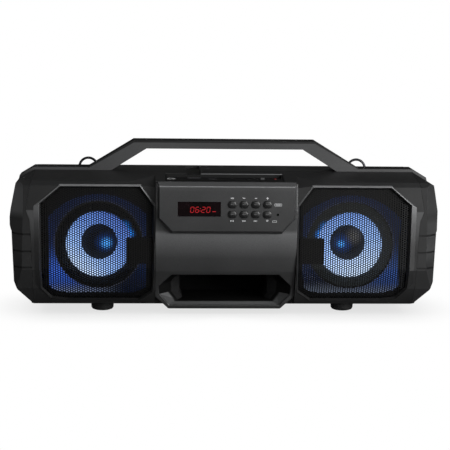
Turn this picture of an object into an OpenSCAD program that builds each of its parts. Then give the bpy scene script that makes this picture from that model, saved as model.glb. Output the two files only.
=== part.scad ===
// Portable boombox with two lit loudspeakers, a control panel and a fixed carrying handle.
// Millimetres, +Z up, front towards -Y, standing on four rubber feet at Z = 0.

/* [Overall] */
// overall width across the end caps
width = 440; // [365:1:535]
// overall height from the rest plane to the top of the grip
height = 178; // [148:1:215]
// overall depth from the button faces to the back
depth = 140; // [116:1:170]
// wall thickness of the housing
wall = 2.6; // [2:0.1:3.6]
// thickness of the front face around the loudspeaker openings
face_t = 3; // [2.6:0.1:5]
// width of the bevel round a loudspeaker opening
rim_in = 1.5; // [1:0.1:3]
// gap around pieces that sit fixed in an opening
fit = 0.2; // [0.1:0.05:0.4]
// gap around pieces that move
run = 0.35; // [0.3:0.05:0.6]

/* [Handle] */
// height of the grip above the deck
grip_rise = 31; // [26:1:40]
// depth of the handle from front to back
grip_depth = 25; // [20:1:32]
// thickness of the grip bar
grip_t = 8.5; // [7:0.5:12]
// half length of the grip at its top corners
grip_half = 94.5; // [80:0.5:110]
// half distance between the outer feet of the handle legs
leg_half = 141; // [120:1:150]
// thickness of the band that runs from the handle to the end caps
band_t = 2.8; // [2:0.1:4]
// outer width of a strap loop
loop_w = 21.2; // [16:0.2:26]
// wire thickness of a strap loop
loop_wire = 2.6; // [1.8:0.1:3.2]

/* [End caps] */
// width of an end cap
cap_w = 24; // [20:0.5:30]
// wall thickness of an end cap
cap_wall = 3; // [2.4:0.1:4]
// height of a groove in an end cap
groove_h = 1.6; // [1:0.1:2.4]
// depth of a groove in an end cap
groove_d = 1; // [0.8:0.1:2]

/* [Loudspeakers] */
// border between the driver frame and the edge of its bay
drv_border = 8; // [6:0.5:12]
// thickness of the mounting baffle
baffle_t = 3; // [2.4:0.2:5]
// thickness of the grille sheet
grille_t = 1.2; // [0.8:0.1:2]
// travel of the cone to either side of rest
cone_travel = 3; // [1:0.5:4]
// radius of the voice coil former
coil_r = 14; // [11:0.5:16]

/* [Controls] */
// half width of the centre bay
ctr = 72; // [68:0.5:80]
// distance between neighbouring button columns
btn_pitch = 11.8; // [11:0.1:13]
// distance between the two button rows
btn_row = 10; // [9.8:0.1:12]
// width of a button across its round sides
btn_d = 8.4; // [6.5:0.1:9]
// height of a button between its flat edges
btn_h = 6.8; // [5.5:0.1:8]
// height of a button above the panel
btn_proud = 1.5; // [1.4:0.1:2.4]
// travel of a button
btn_travel = 1.1; // [0.6:0.1:1.2]
// width of the display window
win_w = 42.8; // [36:0.2:46]
// height of the display window
win_h = 14.6; // [12:0.2:16]
// travel of the power switch
sw_travel = 3.6; // [2:0.2:4.4]
// depth of the top recess from front to back
rec_d = 32; // [30:0.5:33]

/* [Bass port] */
// half width of the port mouth
mouth_half = 68; // [60:0.5:68]
// half width of the straight duct
duct_half = 46; // [38:0.5:50]
// wall thickness of the duct
duct_wall = 2; // [1.6:0.1:2.6]

/* [Feet and fasteners] */
// height of the rubber feet
foot_h = 8; // [6:0.5:11]
// radius of a rubber foot
foot_r = 12; // [9:0.5:14]
// shank radius of the housing screws
screw_r = 1.5; // [1.2:0.1:1.8]

/* [Hidden] */
$fn = 64;
e = 0.01;
hw = width / 2;
hd = depth / 2;
z0 = foot_h;
deck = height - grip_rise;
fy = 12 - hd;
gy = grip_depth / 2;
cap_x = hw - cap_w;
wall_x = cap_x - 2.6;
// upper corner of an end cap, where the handle band ends
sh_x = hw - 7.8;
sh_z = deck - 9.5;
// place of the front feet behind the front of the housing's flat bottom
foot_fy = -8;
bot_y = max(foot_fy - foot_r, fy + 38);
// outline of the housing seen from the end, as pairs of Y and Z
body = [
    [fy + 18.8, z0 + 4.6], [bot_y, z0], [hd - 30, z0], [hd - 12, z0 + 14], [hd, z0 + 40],
    [hd, deck - 43], [hd - 10, deck - 19], [hd - 30, deck], [-gy, deck], [fy + 4, deck - 6.5],
    [fy, deck - 11], [fy + 2, z0 + 42], [fy + 8, z0 + 22]
];
// wall thickness behind each side of that outline
body_t = [for (i = [0:len(body) - 1]) i > 8 ? face_t : wall];
// front face position for a given height
function face_y(z) = lookup(z, [
    [z0, fy + 22], [z0 + 22, fy + 8], [z0 + 42, fy + 2], [deck - 11, fy]
]);
// rear face position for a given height
function rear_y(z) = lookup(z, [
    [z0, hd - 30], [z0 + 14, hd - 12], [z0 + 40, hd], [deck - 43, hd], [deck - 19, hd - 10],
    [deck, hd - 30]
]);
// inward normal of the side that starts at point i of an anticlockwise outline
function side_n(p, i) =
    let (a = p[i], b = p[(i + 1) % len(p)], d = (b - a) / norm(b - a)) [-d[1], d[0]];
// corner i of an outline whose sides are moved inward by the distances t
function in_corner(p, t, i) =
    let (
        h = (i + len(p) - 1) % len(p),
        m = side_n(p, h),
        n = side_n(p, i),
        k = m[0] * n[1] - m[1] * n[0]
    ) p[i] + [t[h] * n[1] - t[i] * m[1], m[0] * t[i] - n[0] * t[h]] / k;
// outline with all sides moved inward
function inset(p, t) = [for (i = [0:len(p) - 1]) in_corner(p, t, i)];
// the same distance for every side
function same(p, t) = [for (i = p) t];
// the wall list grown by a distance
function grown(t, d) = [for (v = t) v + d];
function flip_x(p) = [for (i = [len(p) - 1:-1:0]) [-p[i][0], p[i][1]]];
cavity = inset(body, body_t);

// a loudspeaker bay on the right hand side, as pairs of X and Z
bx0 = ctr + 0.8;
bx1 = cap_x - 7.3;
bz0 = z0 + 8.2;
bz1 = deck - 11.3;
bay = [
    [bx0 + 15, bz0], [bx1 - 28, bz0], [bx1 - 11, bz0 + 2.3], [bx1 - 1.2, z0 + 22],
    [bx1 - 0.5, z0 + 42], [bx1, bz1 - 18], [bx1 - 21, bz1], [bx0 + 14.5, bz1],
    [bx0, bz1 - 20], [bx0, z0 + 42], [bx0 + 1.5, z0 + 18]
];
bay_in = inset(bay, same(bay, rim_in));
drv_x = (bx0 + bx1) / 2 - 1.4;
drv_z = z0 + (deck - z0) * 0.468;
drv_r = min(bx1 - bx0, bz1 - bz0) / 2 - drv_border;
// driver radii follow the frame radius
ks = drv_r / 51;
cone_r = 34.4 * ks;
roll_r = 4.1 * ks;
sur_r = cone_r + 2 * roll_r;
cap_r = 18.8 * ks;
coil = coil_r * min(1, ks);
lip_r = sur_r + 2.6 * ks;
baf_y = fy + 22;
fl_y = baf_y + baffle_t;

// front surface of the centre fascia, from the top down, as pairs of Y and Z
fas_f = [
    [fy - 2.5, deck - 8], [fy - 4.5, deck - 35], [fy - 2.5, deck - 59], [fy + 5, z0 + 40],
    [fy + 12, z0 + 24], [fy + 16, z0 + 13], [fy + 19, z0 + 4], [fy + 20, z0 - 1.6]
];
fas_t = 3;
fas_x = ctr - fit;
fas_w = fas_x - 14;
cut_y = fy + 25 + face_t;
// control panel
pan_y = btn_proud - hd;
pan_t = 2.5;
pan_zt = deck - 6;
pan_zs = deck - 42.6;
pan_zb = deck - 58.8;
btn_x0 = 5;
btn_z = deck - 28;
win_x = -28;
win_z = deck - 32.7;
pcb_y = pan_y + 10.6;
// top recess
rec_x0 = -62;
rec_x1 = 59;
rec_y0 = fy + 1;
rec_y1 = rec_y0 + rec_d;
tray_z = deck - 5.5;
usb_x = -32.4;
chg_x = -13.5;
aux_x = 22.3;
sw_x = 35.5;
led_x = 50.3;
port_y = (rec_y0 + rec_y1) / 2;
conn_z = tray_z - 16;
// screw places that hold the two halves together, as pairs of X and Z
seats = [
    [wall_x - 6.6, z0 + 22], [wall_x - 6.6, deck - 29], [ctr - 4, deck - wall - 3.4],
    [ctr - 4, z0 + wall + 3.4]
];
head_y = 14;
// places of the rubber feet on the right hand side, as pairs of X and Y
foot_spots = [[drv_x - 3, foot_fy], [drv_x - 3, hd - 40]];
foot_hole = 2.6 + fit;

// node names in building order

// an outline of Y and Z pairs drawn along X
module along_x(p, x0, x1) {
    translate([x0, 0, 0])
        rotate([90, 0, 90])
            linear_extrude(x1 - x0)
                polygon(p);
}
// an outline of X and Z pairs drawn along Y
module along_y(p, y0, y1) {
    translate([0, y1, 0])
        rotate([90, 0, 0])
            linear_extrude(y1 - y0)
                polygon(p);
}
// a block between two corners
module block(a, b) {
    translate(a)
        cube(b - a);
}
// a round bar along Y
module bar_y(x, z, r, y0, y1) {
    translate([x, y1, z])
        rotate([90, 0, 0])
            cylinder(r = r, h = y1 - y0);
}
// a round bar along X
module bar_x(y, z, r, x0, x1) {
    translate([x0, y, z])
        rotate([0, 90, 0])
            cylinder(r = r, h = x1 - x0);
}
// a shape turned about the axis of the right hand driver, profile as radius and Y
module turned() {
    translate([drv_x, 0, drv_z])
        rotate([-90, 0, 0])
            rotate_extrude()
                children();
}
module both() {
    children();
    mirror([1, 0, 0])
        children();
}
// a closed skin over a row of rings with equal point counts
module skin(rings) {
    n = len(rings[0]);
    last = (len(rings) - 1) * n;
    sides = [
        for (k = [0:len(rings) - 2])
            for (i = [0:n - 1])
                for (h = [0, 1])
                    let (j = (i + 1) % n)
                        h == 0 ? [k * n + i, k * n + j, k * n + n + j]
                            : [k * n + i, k * n + n + j, k * n + n + i]
    ];
    ends = [[for (i = [n - 1:-1:0]) i], [for (i = [0:n - 1]) last + i]];
    polyhedron(points = [for (r = rings) for (p = r) p], faces = concat(sides, ends));
}
// X and Z pairs placed at one depth
function ring(p, y) = [for (v = p) [v[0], y, v[1]]];
// X and Z pairs placed on the front face and moved back by d
function face_ring(p, d) = [for (v = p) [v[0], face_y(v[1]) + d, v[1]]];
// fascia surface position for a given height
function fas_y(z) = lookup(z, [for (v = fas_f) [v[1], v[0]]]);
function fas_ring(p, q) = [for (i = [0:len(p) - 1]) [p[i][0], fas_y(q[i][1]) + fas_t, p[i][1]]];

// line between the housing and an end cap, from the bottom up
seam = [
    [cap_x, z0 - 5], [cap_x - 0.4, z0 + 32], [cap_x + 1, deck - 61], [cap_x + 2, deck - 46],
    [cap_x + 6, deck - 35], [cap_x - 2, deck + 5]
];
shell_xz = concat(seam, flip_x(seam));
// top of the upright side of an end cap
side_top = [hw - 6.6, deck - 14.5];
// outer side of the right end cap, from the bottom up
cap_side = [
    [cap_x + 1, z0], [cap_x + 2, z0 + 6], [hw - 8.6, z0 + 20.5], [hw - 5, z0 + 29],
    [hw - 2.8, deck - 58.5], [hw, deck - 54], [hw, deck - 46], side_top, [sh_x, sh_z],
    [cap_x + 0.4, deck]
];
// front outline of the right end cap up to the seam
cap_xz = concat(cap_side, [
    [cap_x - 1 + fit, deck], [cap_x + 6 + fit, deck - 35], [cap_x + 2 + fit, deck - 46],
    [cap_x + 1 + fit, deck - 61], [cap_x - 0.4 + fit, z0 + 32], [cap_x + fit, z0]
]);
// the same outline carried on past the seam
cap_open = concat(cap_side, [[cap_x - 12, deck], [cap_x - 12, z0]]);
// top outline of the right end cap
cap_plan = [
    [cap_x - 12, fy - 1], [hw - 17, fy - 1], [hw - 2, fy + 13], [hw + 1, fy + 29], [hw + 1, hd - 29],
    [hw - 4, hd - 12], [hw - 19, hd + 1], [cap_x - 12, hd + 1]
];
function cap_seat_z(k) = z0 + (deck - z0) * k;
cap_spots = [[-20, 0.33], [-20, 0.6], [34, 0.33], [34, 0.6]];

// right end cap with its outer sides moved inward by t and no seam side
module cap_core(t) {
    list = [for (i = [0:len(cap_open) - 1]) i == len(cap_side) ? 0 : t];
    intersection() {
        along_y(inset(cap_open, list), -hd - 4, hd + 4);
        along_x(inset(body, same(body, t)), cap_x - 14, hw + 6);
        translate([0, 0, -5])
            linear_extrude(height + 10)
                polygon(inset(cap_plan, [for (i = [0:7]) i == 7 ? -4 : t]));
    }
}
module end_cap() {
    difference() {
        union() {
            difference() {
                intersection() {
                    cap_core(0);
                    along_y(cap_xz, -hd - 4, hd + 4);
                }
                cap_core(cap_wall);
                difference() {
                    for (z = [z0 + 43.5, z0 + 60, z0 + 77.5])
                        block([cap_x - 20, -hd - 9, z], [hw - 5, hd + 9, z + groove_h]);
                    cap_core(groove_d);
                }
            }
            intersection() {
                cap_core(0.6);
                for (s = cap_spots)
                    bar_x(s[0], cap_seat_z(s[1]), 4, wall_x, hw);
            }
        }
        for (s = cap_spots)
            bar_x(s[0], cap_seat_z(s[1]), screw_r + 0.1, wall_x - 1, wall_x + 12);
    }
}
module right_end_cap() {
    color("#2b2b2d")
        end_cap();
}
module left_end_cap() {
    color("#2b2b2d")
        mirror([1, 0, 0])
            end_cap();
}
// hollow housing before it is parted into front and rear
module shell() {
    difference() {
        intersection() {
            along_x(body, -cap_x - 10, cap_x + 10);
            along_y(shell_xz, -hd - 5, hd + 5);
        }
        along_x(cavity, wall - wall_x, wall_x - wall);
        both()
            along_x(inset(body, same(body, wall)), wall_x, cap_x + 20);
        both()
            for (s = cap_spots)
                bar_x(s[0], cap_seat_z(s[1]), screw_r + 0.3, wall_x - wall - 1, wall_x + 1);
    }
}
usb_w = 14;
module usb_trough(grow) {
    block(
        [usb_x - usb_w / 2 - grow, rec_y1 - 0.5, deck - 3 - grow],
        [usb_x + usb_w / 2 + grow, hd - 34 + grow, deck + (grow > 0 ? -1 : 9)]
    );
}
// sloping facet on the inner top corner of a loudspeaker pod, lowered by d
slope_len = 40;
function slope_z(x, y, d) = deck - 12.3 - d + (x - ctr) / 6 + 0.36 * (y - fy);
function slope_ring(x, d) = [
    [x, fy + 34, slope_z(x, fy + 34, d)], [x, fy - 4, slope_z(x, fy - 4, d)],
    [x, fy - 4, deck + 9], [x, fy + 34, deck + 9]
];
module shoulder(d) {
    skin([slope_ring(ctr, d), slope_ring(ctr + slope_len, d)]);
}
module front_cover() {
    color("#26272a")
        difference() {
            union() {
                intersection() {
                    shell();
                    block([-hw, -hd - 5, -5], [hw, 0, height]);
                }
                intersection() {
                    along_x(body, -wall_x, wall_x);
                    both()
                        for (s = seats)
                            bar_y(s[0], s[1], 4.5, cut_y, 0);
                }
                both()
                    for (s = [seats[0], seats[1]])
                        block([s[0], cut_y, s[1] - 3], [wall_x - 0.5, 0, s[1] + 3]);
                both()
                    intersection() {
                        along_x(body, ctr, ctr + slope_len);
                        shoulder(wall);
                    }
                both()
                    intersection() {
                        along_x(body, ctr, ctr + wall);
                        block([ctr, -hd, z0], [ctr + wall, cut_y, deck]);
                    }
                intersection() {
                    usb_trough(2);
                    along_x(body, -hw, hw);
                    block([-hw, rec_y1, 0], [hw, 0, height]);
                }
            }
            block([-ctr, -hd - 9, -5], [ctr, cut_y, deck - 10.5]);
            block([-fas_w - fit, -hd - 9, -5], [fas_w + fit, bot_y, z0 + 8]);
            block([rec_x0, -hd - 9, deck - 20], [rec_x1, rec_y1, height]);
            both()
                skin([
                    ring(inset(bay, same(bay, -rim_in / 2)), -hd - 20),
                    face_ring(inset(bay, same(bay, -rim_in / 2)), -face_t / 2),
                    face_ring(inset(bay, same(bay, rim_in * 1.5)), face_t * 1.5),
                    ring(inset(bay, same(bay, rim_in * 1.5)), baf_y)
                ]);
            both()
                for (s = seats)
                    bar_y(s[0], s[1], screw_r + 0.1, -14, 1);
            both()
                for (y = [-7])
                    translate([leg_half - 14, y, deck - 9])
                        cylinder(r = screw_r + 0.3, h = 20);
            both()
                translate([foot_spots[0][0], foot_spots[0][1], z0 - 4])
                    cylinder(r = foot_hole, h = 12);
            both()
                shoulder(0);
            usb_trough(0);
        }
}
module rear_cover() {
    color("#242528")
        difference() {
            union() {
                intersection() {
                    shell();
                    block([-hw, 0, -5], [hw, hd + 5, height]);
                }
                intersection() {
                    along_x(body, -wall_x, wall_x);
                    both()
                        for (s = seats)
                            bar_y(s[0], s[1], 5.6, 0, hd);
                }
                intersection() {
                    usb_trough(2);
                    along_x(body, -hw, hw);
                    block([-hw, 0, 0], [hw, hd, height]);
                }
                for (x = [-44.2, 42])
                    block([x, hd - wall - 16, z0 + 42], [x + 2.2, hd - 1, z0 + 66]);
                for (x = [-46, 46])
                    for (z = [z0 + 72, z0 + 92])
                        bar_y(x, z, 3, hd - 9, hd - 1);
            }
            both()
                for (s = seats) {
                    bar_y(s[0], s[1], screw_r + 0.3, -1, hd);
                    bar_y(s[0], s[1], 3.6, head_y, hd + 5);
                }
            both()
                translate([leg_half - 14, 7, deck - 9])
                    cylinder(r = screw_r + 0.3, h = 20);
            both()
                translate([foot_spots[1][0], foot_spots[1][1], z0 - 4])
                    cylinder(r = foot_hole, h = 12);
            both()
                for (s = [-1, 1])
                    translate([leg_half + 1 + s * (loop_w - loop_wire) / 2, 20, deck - 6])
                        cylinder(r = loop_wire / 2 + fit, h = 20);
            usb_trough(0);
            block([-66, hd - 1, z0 + 46], [66, hd + 5, deck - 47]);
            both()
                for (z = [z0 + 50, z0 + 64, z0 + 78])
                    block([82, hd - 0.8, z], [wall_x - 14, hd + 5, z + groove_h]);
        }
}
// mouth of the bass port seen from the front
mouth_z = z0 + 2.2;
mouth = [
    [11 - mouth_half, mouth_z], [mouth_half - 11, mouth_z], [mouth_half - 0.6, z0 + 14],
    [mouth_half, z0 + 23.5], [mouth_half - 13, z0 + 36.5], [13 - mouth_half, z0 + 36.5],
    [-mouth_half, z0 + 23.5], [0.6 - mouth_half, z0 + 14]
];
// floor of the duct above the bottom of the housing
duct_z = z0 + wall + duct_wall + 1.2;
// throat between the mouth and the duct
neck = (mouth_half + duct_half) / 2 - 2;
throat = [
    [7 - neck, duct_z - 0.5], [neck - 7, duct_z - 0.5], [neck - 0.4, z0 + 14], [neck, z0 + 25],
    [neck - 7, z0 + 35], [7 - neck, z0 + 35], [-neck, z0 + 25], [0.4 - neck, z0 + 14]
];
// straight duct behind the throat
duct = [
    [3 - duct_half, duct_z], [duct_half - 3, duct_z], [duct_half, z0 + 11], [duct_half, z0 + 30],
    [duct_half - 3, z0 + 34], [3 - duct_half, z0 + 34], [-duct_half, z0 + 30], [-duct_half, z0 + 11]
];
throat_y = fy + 34;
duct_y0 = fy + 44;
duct_y1 = hd - 45;
fas_b = [for (i = [len(fas_f) - 1:-1:0]) fas_f[i] + [fas_t, 0]];
fas_low = fas_f[len(fas_f) - 1][1];
fas_top = fas_f[0][1];
fas_xz = [
    [-fas_w, fas_low], [fas_w, fas_low], [fas_x, z0 + 12], [fas_x, fas_top],
    [-fas_x, fas_top], [-fas_x, z0 + 12]
];
pocket = [
    [-60, deck - 47], [60, deck - 47], [60, deck - 12.5], [-60, deck - 12.5]
];
module centre_fascia() {
    color("#4a4b4e")
        difference() {
            union() {
                intersection() {
                    union() {
                        along_x(concat(fas_f, fas_b), -fas_x, fas_x);
                        both()
                            along_x(
                                [
                                    for (z = [z0 + 40, deck - 59, deck - 35, deck - 10.7]) [fas_y(z), z],
                                    [fy + 21, deck - 10.7], [fy + 21, z0 + 40]
                                ],
                                mouth_half + 0.6, fas_x
                            );
                    }
                    along_y(fas_xz, -hd - 5, 0);
                }
                block([-fas_w, fy + 20.5, fas_low], [fas_w, bot_y - fit, mouth_z - duct_wall - fit]);
            }
            along_y(mouth, -hd - 5, fy + 26);
            along_y(inset(pocket, same(pocket, -1.5)), -hd - 5, 0);
        }
}
module port_duct() {
    color("#141416")
        difference() {
            skin([
                ring(inset(mouth, same(mouth, -duct_wall)), -hd),
                fas_ring(inset(mouth, same(mouth, -duct_wall)), mouth),
                ring(inset(throat, same(throat, -duct_wall)), throat_y),
                ring(inset(duct, same(duct, -duct_wall)), duct_y0),
                ring(inset(duct, same(duct, -duct_wall)), duct_y1)
            ]);
            skin([
                ring(mouth, -hd - 10),
                fas_ring(mouth, mouth),
                ring(throat, throat_y),
                ring(duct, duct_y0),
                ring(duct, duct_y1 + 5)
            ]);
            along_x(concat(fas_b, [[-hd - 30, fas_top], [-hd - 30, fas_low]]), -hw, hw);
        }
}
// control panel outlines at its face and at its foot
pan_a = [
    [-54.8, pan_zb + 4], [54.8, pan_zb + 4], [fas_x - 4, pan_zs + 1], [fas_x - 4, pan_zt - 4],
    [4 - fas_x, pan_zt - 4], [4 - fas_x, pan_zs + 1]
];
pan_b = [
    [-56.2, pan_zb + 0.6], [56.2, pan_zb + 0.6], [fas_x - 2.2, pan_zs], [fas_x - 2.2, pan_zt],
    [2.2 - fas_x, pan_zt], [2.2 - fas_x, pan_zs]
];
win_y = pan_y + pan_t;
module button_spots() {
    for (r = [0, 1])
        for (c = [0:3])
            translate([btn_x0 + c * btn_pitch, 0, btn_z - r * btn_row])
                children();
}
// outline of a button grown by g
module key_shape(g, y0, y1) {
    intersection() {
        bar_y(0, 0, btn_d / 2 + g, y0, y1);
        block([-btn_d, y0, -btn_h / 2 - g], [btn_d, y1, btn_h / 2 + g]);
    }
}
post_x = 56;
post_z = [deck - 44, deck - 15.5];
module control_panel() {
    color("#46474a")
        difference() {
            union() {
                difference() {
                    hull() {
                        along_y(pan_a, pan_y, pan_y + 0.2);
                        along_y(pan_b, fy - 5, fy - 0.6);
                    }
                    along_x(concat(fas_f, [[30, fas_low], [30, fas_top]]), -hw, hw);
                    along_y(pocket, pan_y + pan_t, 0);
                }
                for (x = [-post_x, post_x])
                    for (z = post_z)
                        bar_y(x, z, 2.4, pan_y + 1, pcb_y);
            }
            button_spots()
                key_shape(run, -hd - 9, pcb_y);
            block(
                [win_x - win_w / 2 - fit, -hd - 9, win_z - win_h / 2 - fit],
                [win_x + win_w / 2 + fit, pcb_y, win_z + win_h / 2 + fit]
            );
            bar_y(btn_x0 + 3.9 * btn_pitch, btn_z - btn_row, 1.3, -hd - 9, pcb_y);
        }
}
module display_window() {
    color("#0a0506")
        union() {
            block(
                [win_x - win_w / 2, pan_y + 0.3, win_z - win_h / 2],
                [win_x + win_w / 2, win_y + 1, win_z + win_h / 2]
            );
            block(
                [win_x - win_w / 2 - 1.4, win_y, win_z - win_h / 2 - 1.4],
                [win_x + win_w / 2 + 1.4, win_y + 1, win_z + win_h / 2 + 1.4]
            );
        }
}
module display_module() {
    color("#1c1c1e")
        block(
            [win_x - win_w / 2 + 1.4, win_y + 1, win_z - win_h / 2 - 0.8],
            [win_x + win_w / 2 - 1.4, pcb_y, win_z + win_h / 2 + 0.8]
        );
}
// a button with a domed face, a shoulder behind the panel and a stem
sh_y = win_y + 0.3;
module button(c, r) {
    color("#1b1b1d")
        translate([btn_x0 + c * btn_pitch, 0, btn_z - r * btn_row])
            union() {
                difference() {
                    key_shape(0, -hd, sh_y + 0.1);
                    difference() {
                        bar_y(0, 0, btn_d, -hd - 1, -hd + 0.9);
                        translate([0, -hd + 12, 0])
                            sphere(r = 12);
                    }
                }
                key_shape(0.7, sh_y, sh_y + 1);
                bar_y(0, 0, 1.4, sh_y + 0.9, sh_y + 2.6);
            }
}
module button_top_1() { button(0, 0); }
module button_top_2() { button(1, 0); }
module button_top_3() { button(2, 0); }
module button_top_4() { button(3, 0); }
module button_bottom_1() { button(0, 1); }
module button_bottom_2() { button(1, 1); }
module button_bottom_3() { button(2, 1); }
module button_bottom_4() { button(3, 1); }
tact_y = sh_y + 2.6 + btn_travel + 0.3;
module tact_switches() {
    color("#8a8c90")
        button_spots()
            union() {
                block([-3, tact_y + 1, -3], [3, pcb_y, 3]);
                bar_y(0, 0, 1.6, tact_y, tact_y + 1.1);
            }
}
module key_board() {
    color("#1f5a34")
        difference() {
            block([-59, pcb_y, deck - 46.4], [59, pcb_y + 1.6, deck - 13]);
            for (x = [-post_x, post_x])
                for (z = post_z)
                    bar_y(x, z, 1, pcb_y - 1, pcb_y + 3);
        }
}
// socket recess on top
floor_t = 2;
sw_half = 1.9;
knob_x = sw_x + sw_travel / 2;
knob_low = tray_z - floor_t - run - 1;
module conn_posts() {
    for (x = [rec_x0 + 7, rec_x1 - 7])
        for (y = [port_y - 9, port_y + 9])
            translate([x, y, conn_z + 1.6])
                cylinder(r = 2.4, h = tray_z - floor_t - conn_z - 1.6);
}
module top_panel() {
    color("#161618")
        difference() {
            union() {
                intersection() {
                    difference() {
                        block([rec_x0 + fit, rec_y0, tray_z - floor_t], [rec_x1 - fit, rec_y1 - fit, deck]);
                        block([rec_x0 + 2, rec_y0 - 9, tray_z], [rec_x1 - 2, rec_y1 - 2, height]);
                    }
                    along_x(inset(body, same(body, 0.4)), -hw, hw);
                }
                conn_posts();
            }
            block([usb_x - usb_w / 2, rec_y1 - 9, deck - 3], [usb_x + usb_w / 2, 0, height]);
            block([usb_x - 6.8, rec_y1 - 10, 0], [usb_x + 6.8, rec_y1 - 3.8, height]);
            block([chg_x - 4.3, port_y - 1.7, 0], [chg_x + 4.3, port_y + 1.7, height]);
            translate([aux_x, port_y, 0])
                cylinder(r = 3 + fit, h = height);
            block(
                [sw_x - sw_travel / 2 - sw_half - run, port_y - 1.6 - run, 0],
                [sw_x + sw_travel / 2 + sw_half + run, port_y + 1.6 + run, height]
            );
            translate([led_x, port_y, 0])
                cylinder(r = 1.4 + fit, h = height);
        }
}
module connector_board() {
    color("#1f5a34")
        block([rec_x0 + 4, port_y - 12, conn_z], [rec_x1 - 4, port_y + 12, conn_z + 1.6]);
}
usb_y = rec_y1 - 6.9;
module usb_port() {
    color("#b9bbbf")
        union() {
            difference() {
                block([usb_x - 6.6, usb_y - 2.9, conn_z + 1.6], [usb_x + 6.6, usb_y + 2.9, tray_z + 0.2]);
                block([usb_x - 6.1, usb_y - 2.4, tray_z - 9], [usb_x + 6.1, usb_y + 2.4, tray_z + 9]);
            }
            block([usb_x - 5.4, usb_y - 1.9, tray_z - 9.1], [usb_x + 5.4, usb_y - 0.2, tray_z - 0.6]);
        }
}
module charge_port() {
    color("#b9bbbf")
        union() {
            difference() {
                block(
                    [chg_x - 4.1, port_y - 1.5, conn_z + 1.6],
                    [chg_x + 4.1, port_y + 1.5, tray_z + 0.2]
                );
                block([chg_x - 3.7, port_y - 1.1, tray_z - 5], [chg_x + 3.7, port_y + 1.1, tray_z + 9]);
            }
            block([chg_x - 2.6, port_y - 0.9, tray_z - 5.1], [chg_x + 2.6, port_y - 0.2, tray_z - 0.4]);
        }
}
module aux_jack() {
    color("#2a2a2c")
        difference() {
            union() {
                block([aux_x - 4.5, port_y - 5, conn_z + 1.6], [aux_x + 4.5, port_y + 5, tray_z - floor_t]);
                translate([aux_x, port_y, tray_z - floor_t - 0.1])
                    cylinder(r = 3, h = floor_t + 0.4);
            }
            translate([aux_x, port_y, tray_z - 12.7])
                cylinder(r = 1.8, h = 30);
        }
}
module power_switch_knob() {
    color("#3a3b3e")
        union() {
            block(
                [knob_x - sw_half, port_y - 1.6, knob_low],
                [knob_x + sw_half, port_y + 1.6, tray_z + 1.5]
            );
            block([knob_x - 3.4, port_y - 3, knob_low], [knob_x + 3.4, port_y + 3, knob_low + 1]);
        }
}
module power_switch_body() {
    color("#8a8c90")
        block(
            [sw_x - 6, port_y - 3.4, conn_z + 1.6],
            [sw_x + 6, port_y + 3.4, knob_low - run]
        );
}
module charge_led() {
    color("#c0202a")
        union() {
            translate([led_x, port_y, conn_z + 1.6])
                cylinder(r = 1.4, h = tray_z - conn_z - 1.9);
            translate([led_x, port_y, tray_z - 0.3])
                sphere(r = 1.4);
        }
}
// handle with a band over each shoulder
function unit(v) = v / norm(v);
band_d = unit([cap_x + 0.4, deck] - [sh_x, sh_z]);
side_d = unit([sh_x, sh_z] - side_top);
// outer corner of a band's end, in line with the side of the end cap
band_end = [sh_x, sh_z] + side_d * (band_t / (side_d * [band_d[1], -band_d[0]]));
grip_xz = [
    [sh_x, sh_z], band_end,
    [cap_x + 1.2, deck + band_t], [leg_half, deck + band_t], [grip_half, height],
    [-grip_half, height], [-leg_half, deck + band_t], [-cap_x - 1.2, deck + band_t],
    [-band_end[0], band_end[1]], [-sh_x, sh_z],
    [-cap_x - 0.4, deck], [24 - leg_half, deck], [13.5 - grip_half, height - grip_t],
    [grip_half - 13.5, height - grip_t], [leg_half - 24, deck], [cap_x + 0.4, deck]
];
module handle() {
    color("#2e2f32")
        difference() {
            along_y(grip_xz, -gy, gy);
            both()
                for (y = [-7, 7])
                    translate([leg_half - 14, y, deck - 1])
                        cylinder(r = screw_r + 0.1, h = 9);
        }
}
module handle_screws() {
    color("#9a9ca0")
        both()
            for (y = [-7, 7])
                translate([leg_half - 14, y, deck - wall - 2.2])
                    union() {
                        cylinder(r = 3, h = 2.2);
                        cylinder(r = screw_r, h = wall + 9);
                    }
}
module strap_loop() {
    r = (loop_w - loop_wire) / 2;
    translate([leg_half + 1, 20, deck])
        union() {
            rotate([90, 0, 0])
                rotate_extrude(angle = 180)
                    translate([r, 0])
                        circle(r = loop_wire / 2);
            for (s = [-r, r])
                translate([s, 0, -wall - 1.2])
                    cylinder(r = loop_wire / 2, h = wall + 1.2);
            block([-loop_w / 2 - 1, -2.5, -wall - 1.6], [loop_w / 2 + 1, 2.5, -wall]);
        }
}
module right_strap_loop() {
    color("#8d9095")
        strap_loop();
}
module left_strap_loop() {
    color("#8d9095")
        mirror([1, 0, 0])
            strap_loop();
}
module battery_pack() {
    color("#2f6fb0")
        block([-41.8, hd - wall - 20, z0 + 43], [41.8, hd - wall, z0 + 65]);
}
function rise(k) = z0 + (deck - z0) * k;
module amplifier_board() {
    color("#1f5a34")
        union() {
            block([-52, hd - 10.6, rise(0.5)], [52, hd - 9, rise(0.68)]);
            block([-22, hd - 24, rise(0.52)], [18, hd - 10.5, rise(0.6)]);
            for (x = [-40, -30, 30, 40])
                bar_y(x, rise(0.61), 4, hd - 23, hd - 10.5);
        }
}
module feet() {
    color("#151516")
        both()
            for (s = foot_spots)
                translate([s[0], s[1], 0])
                    rotate_extrude()
                        polygon([
                            [0, 0], [foot_r - 3.4, 0], [foot_r - 1.4, 0.8], [foot_r - 0.4, 2.4],
                            [foot_r, z0], [2.6, z0], [2.6, z0 + wall + 1.2], [0, z0 + wall + 1.2]
                        ]);
}
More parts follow.
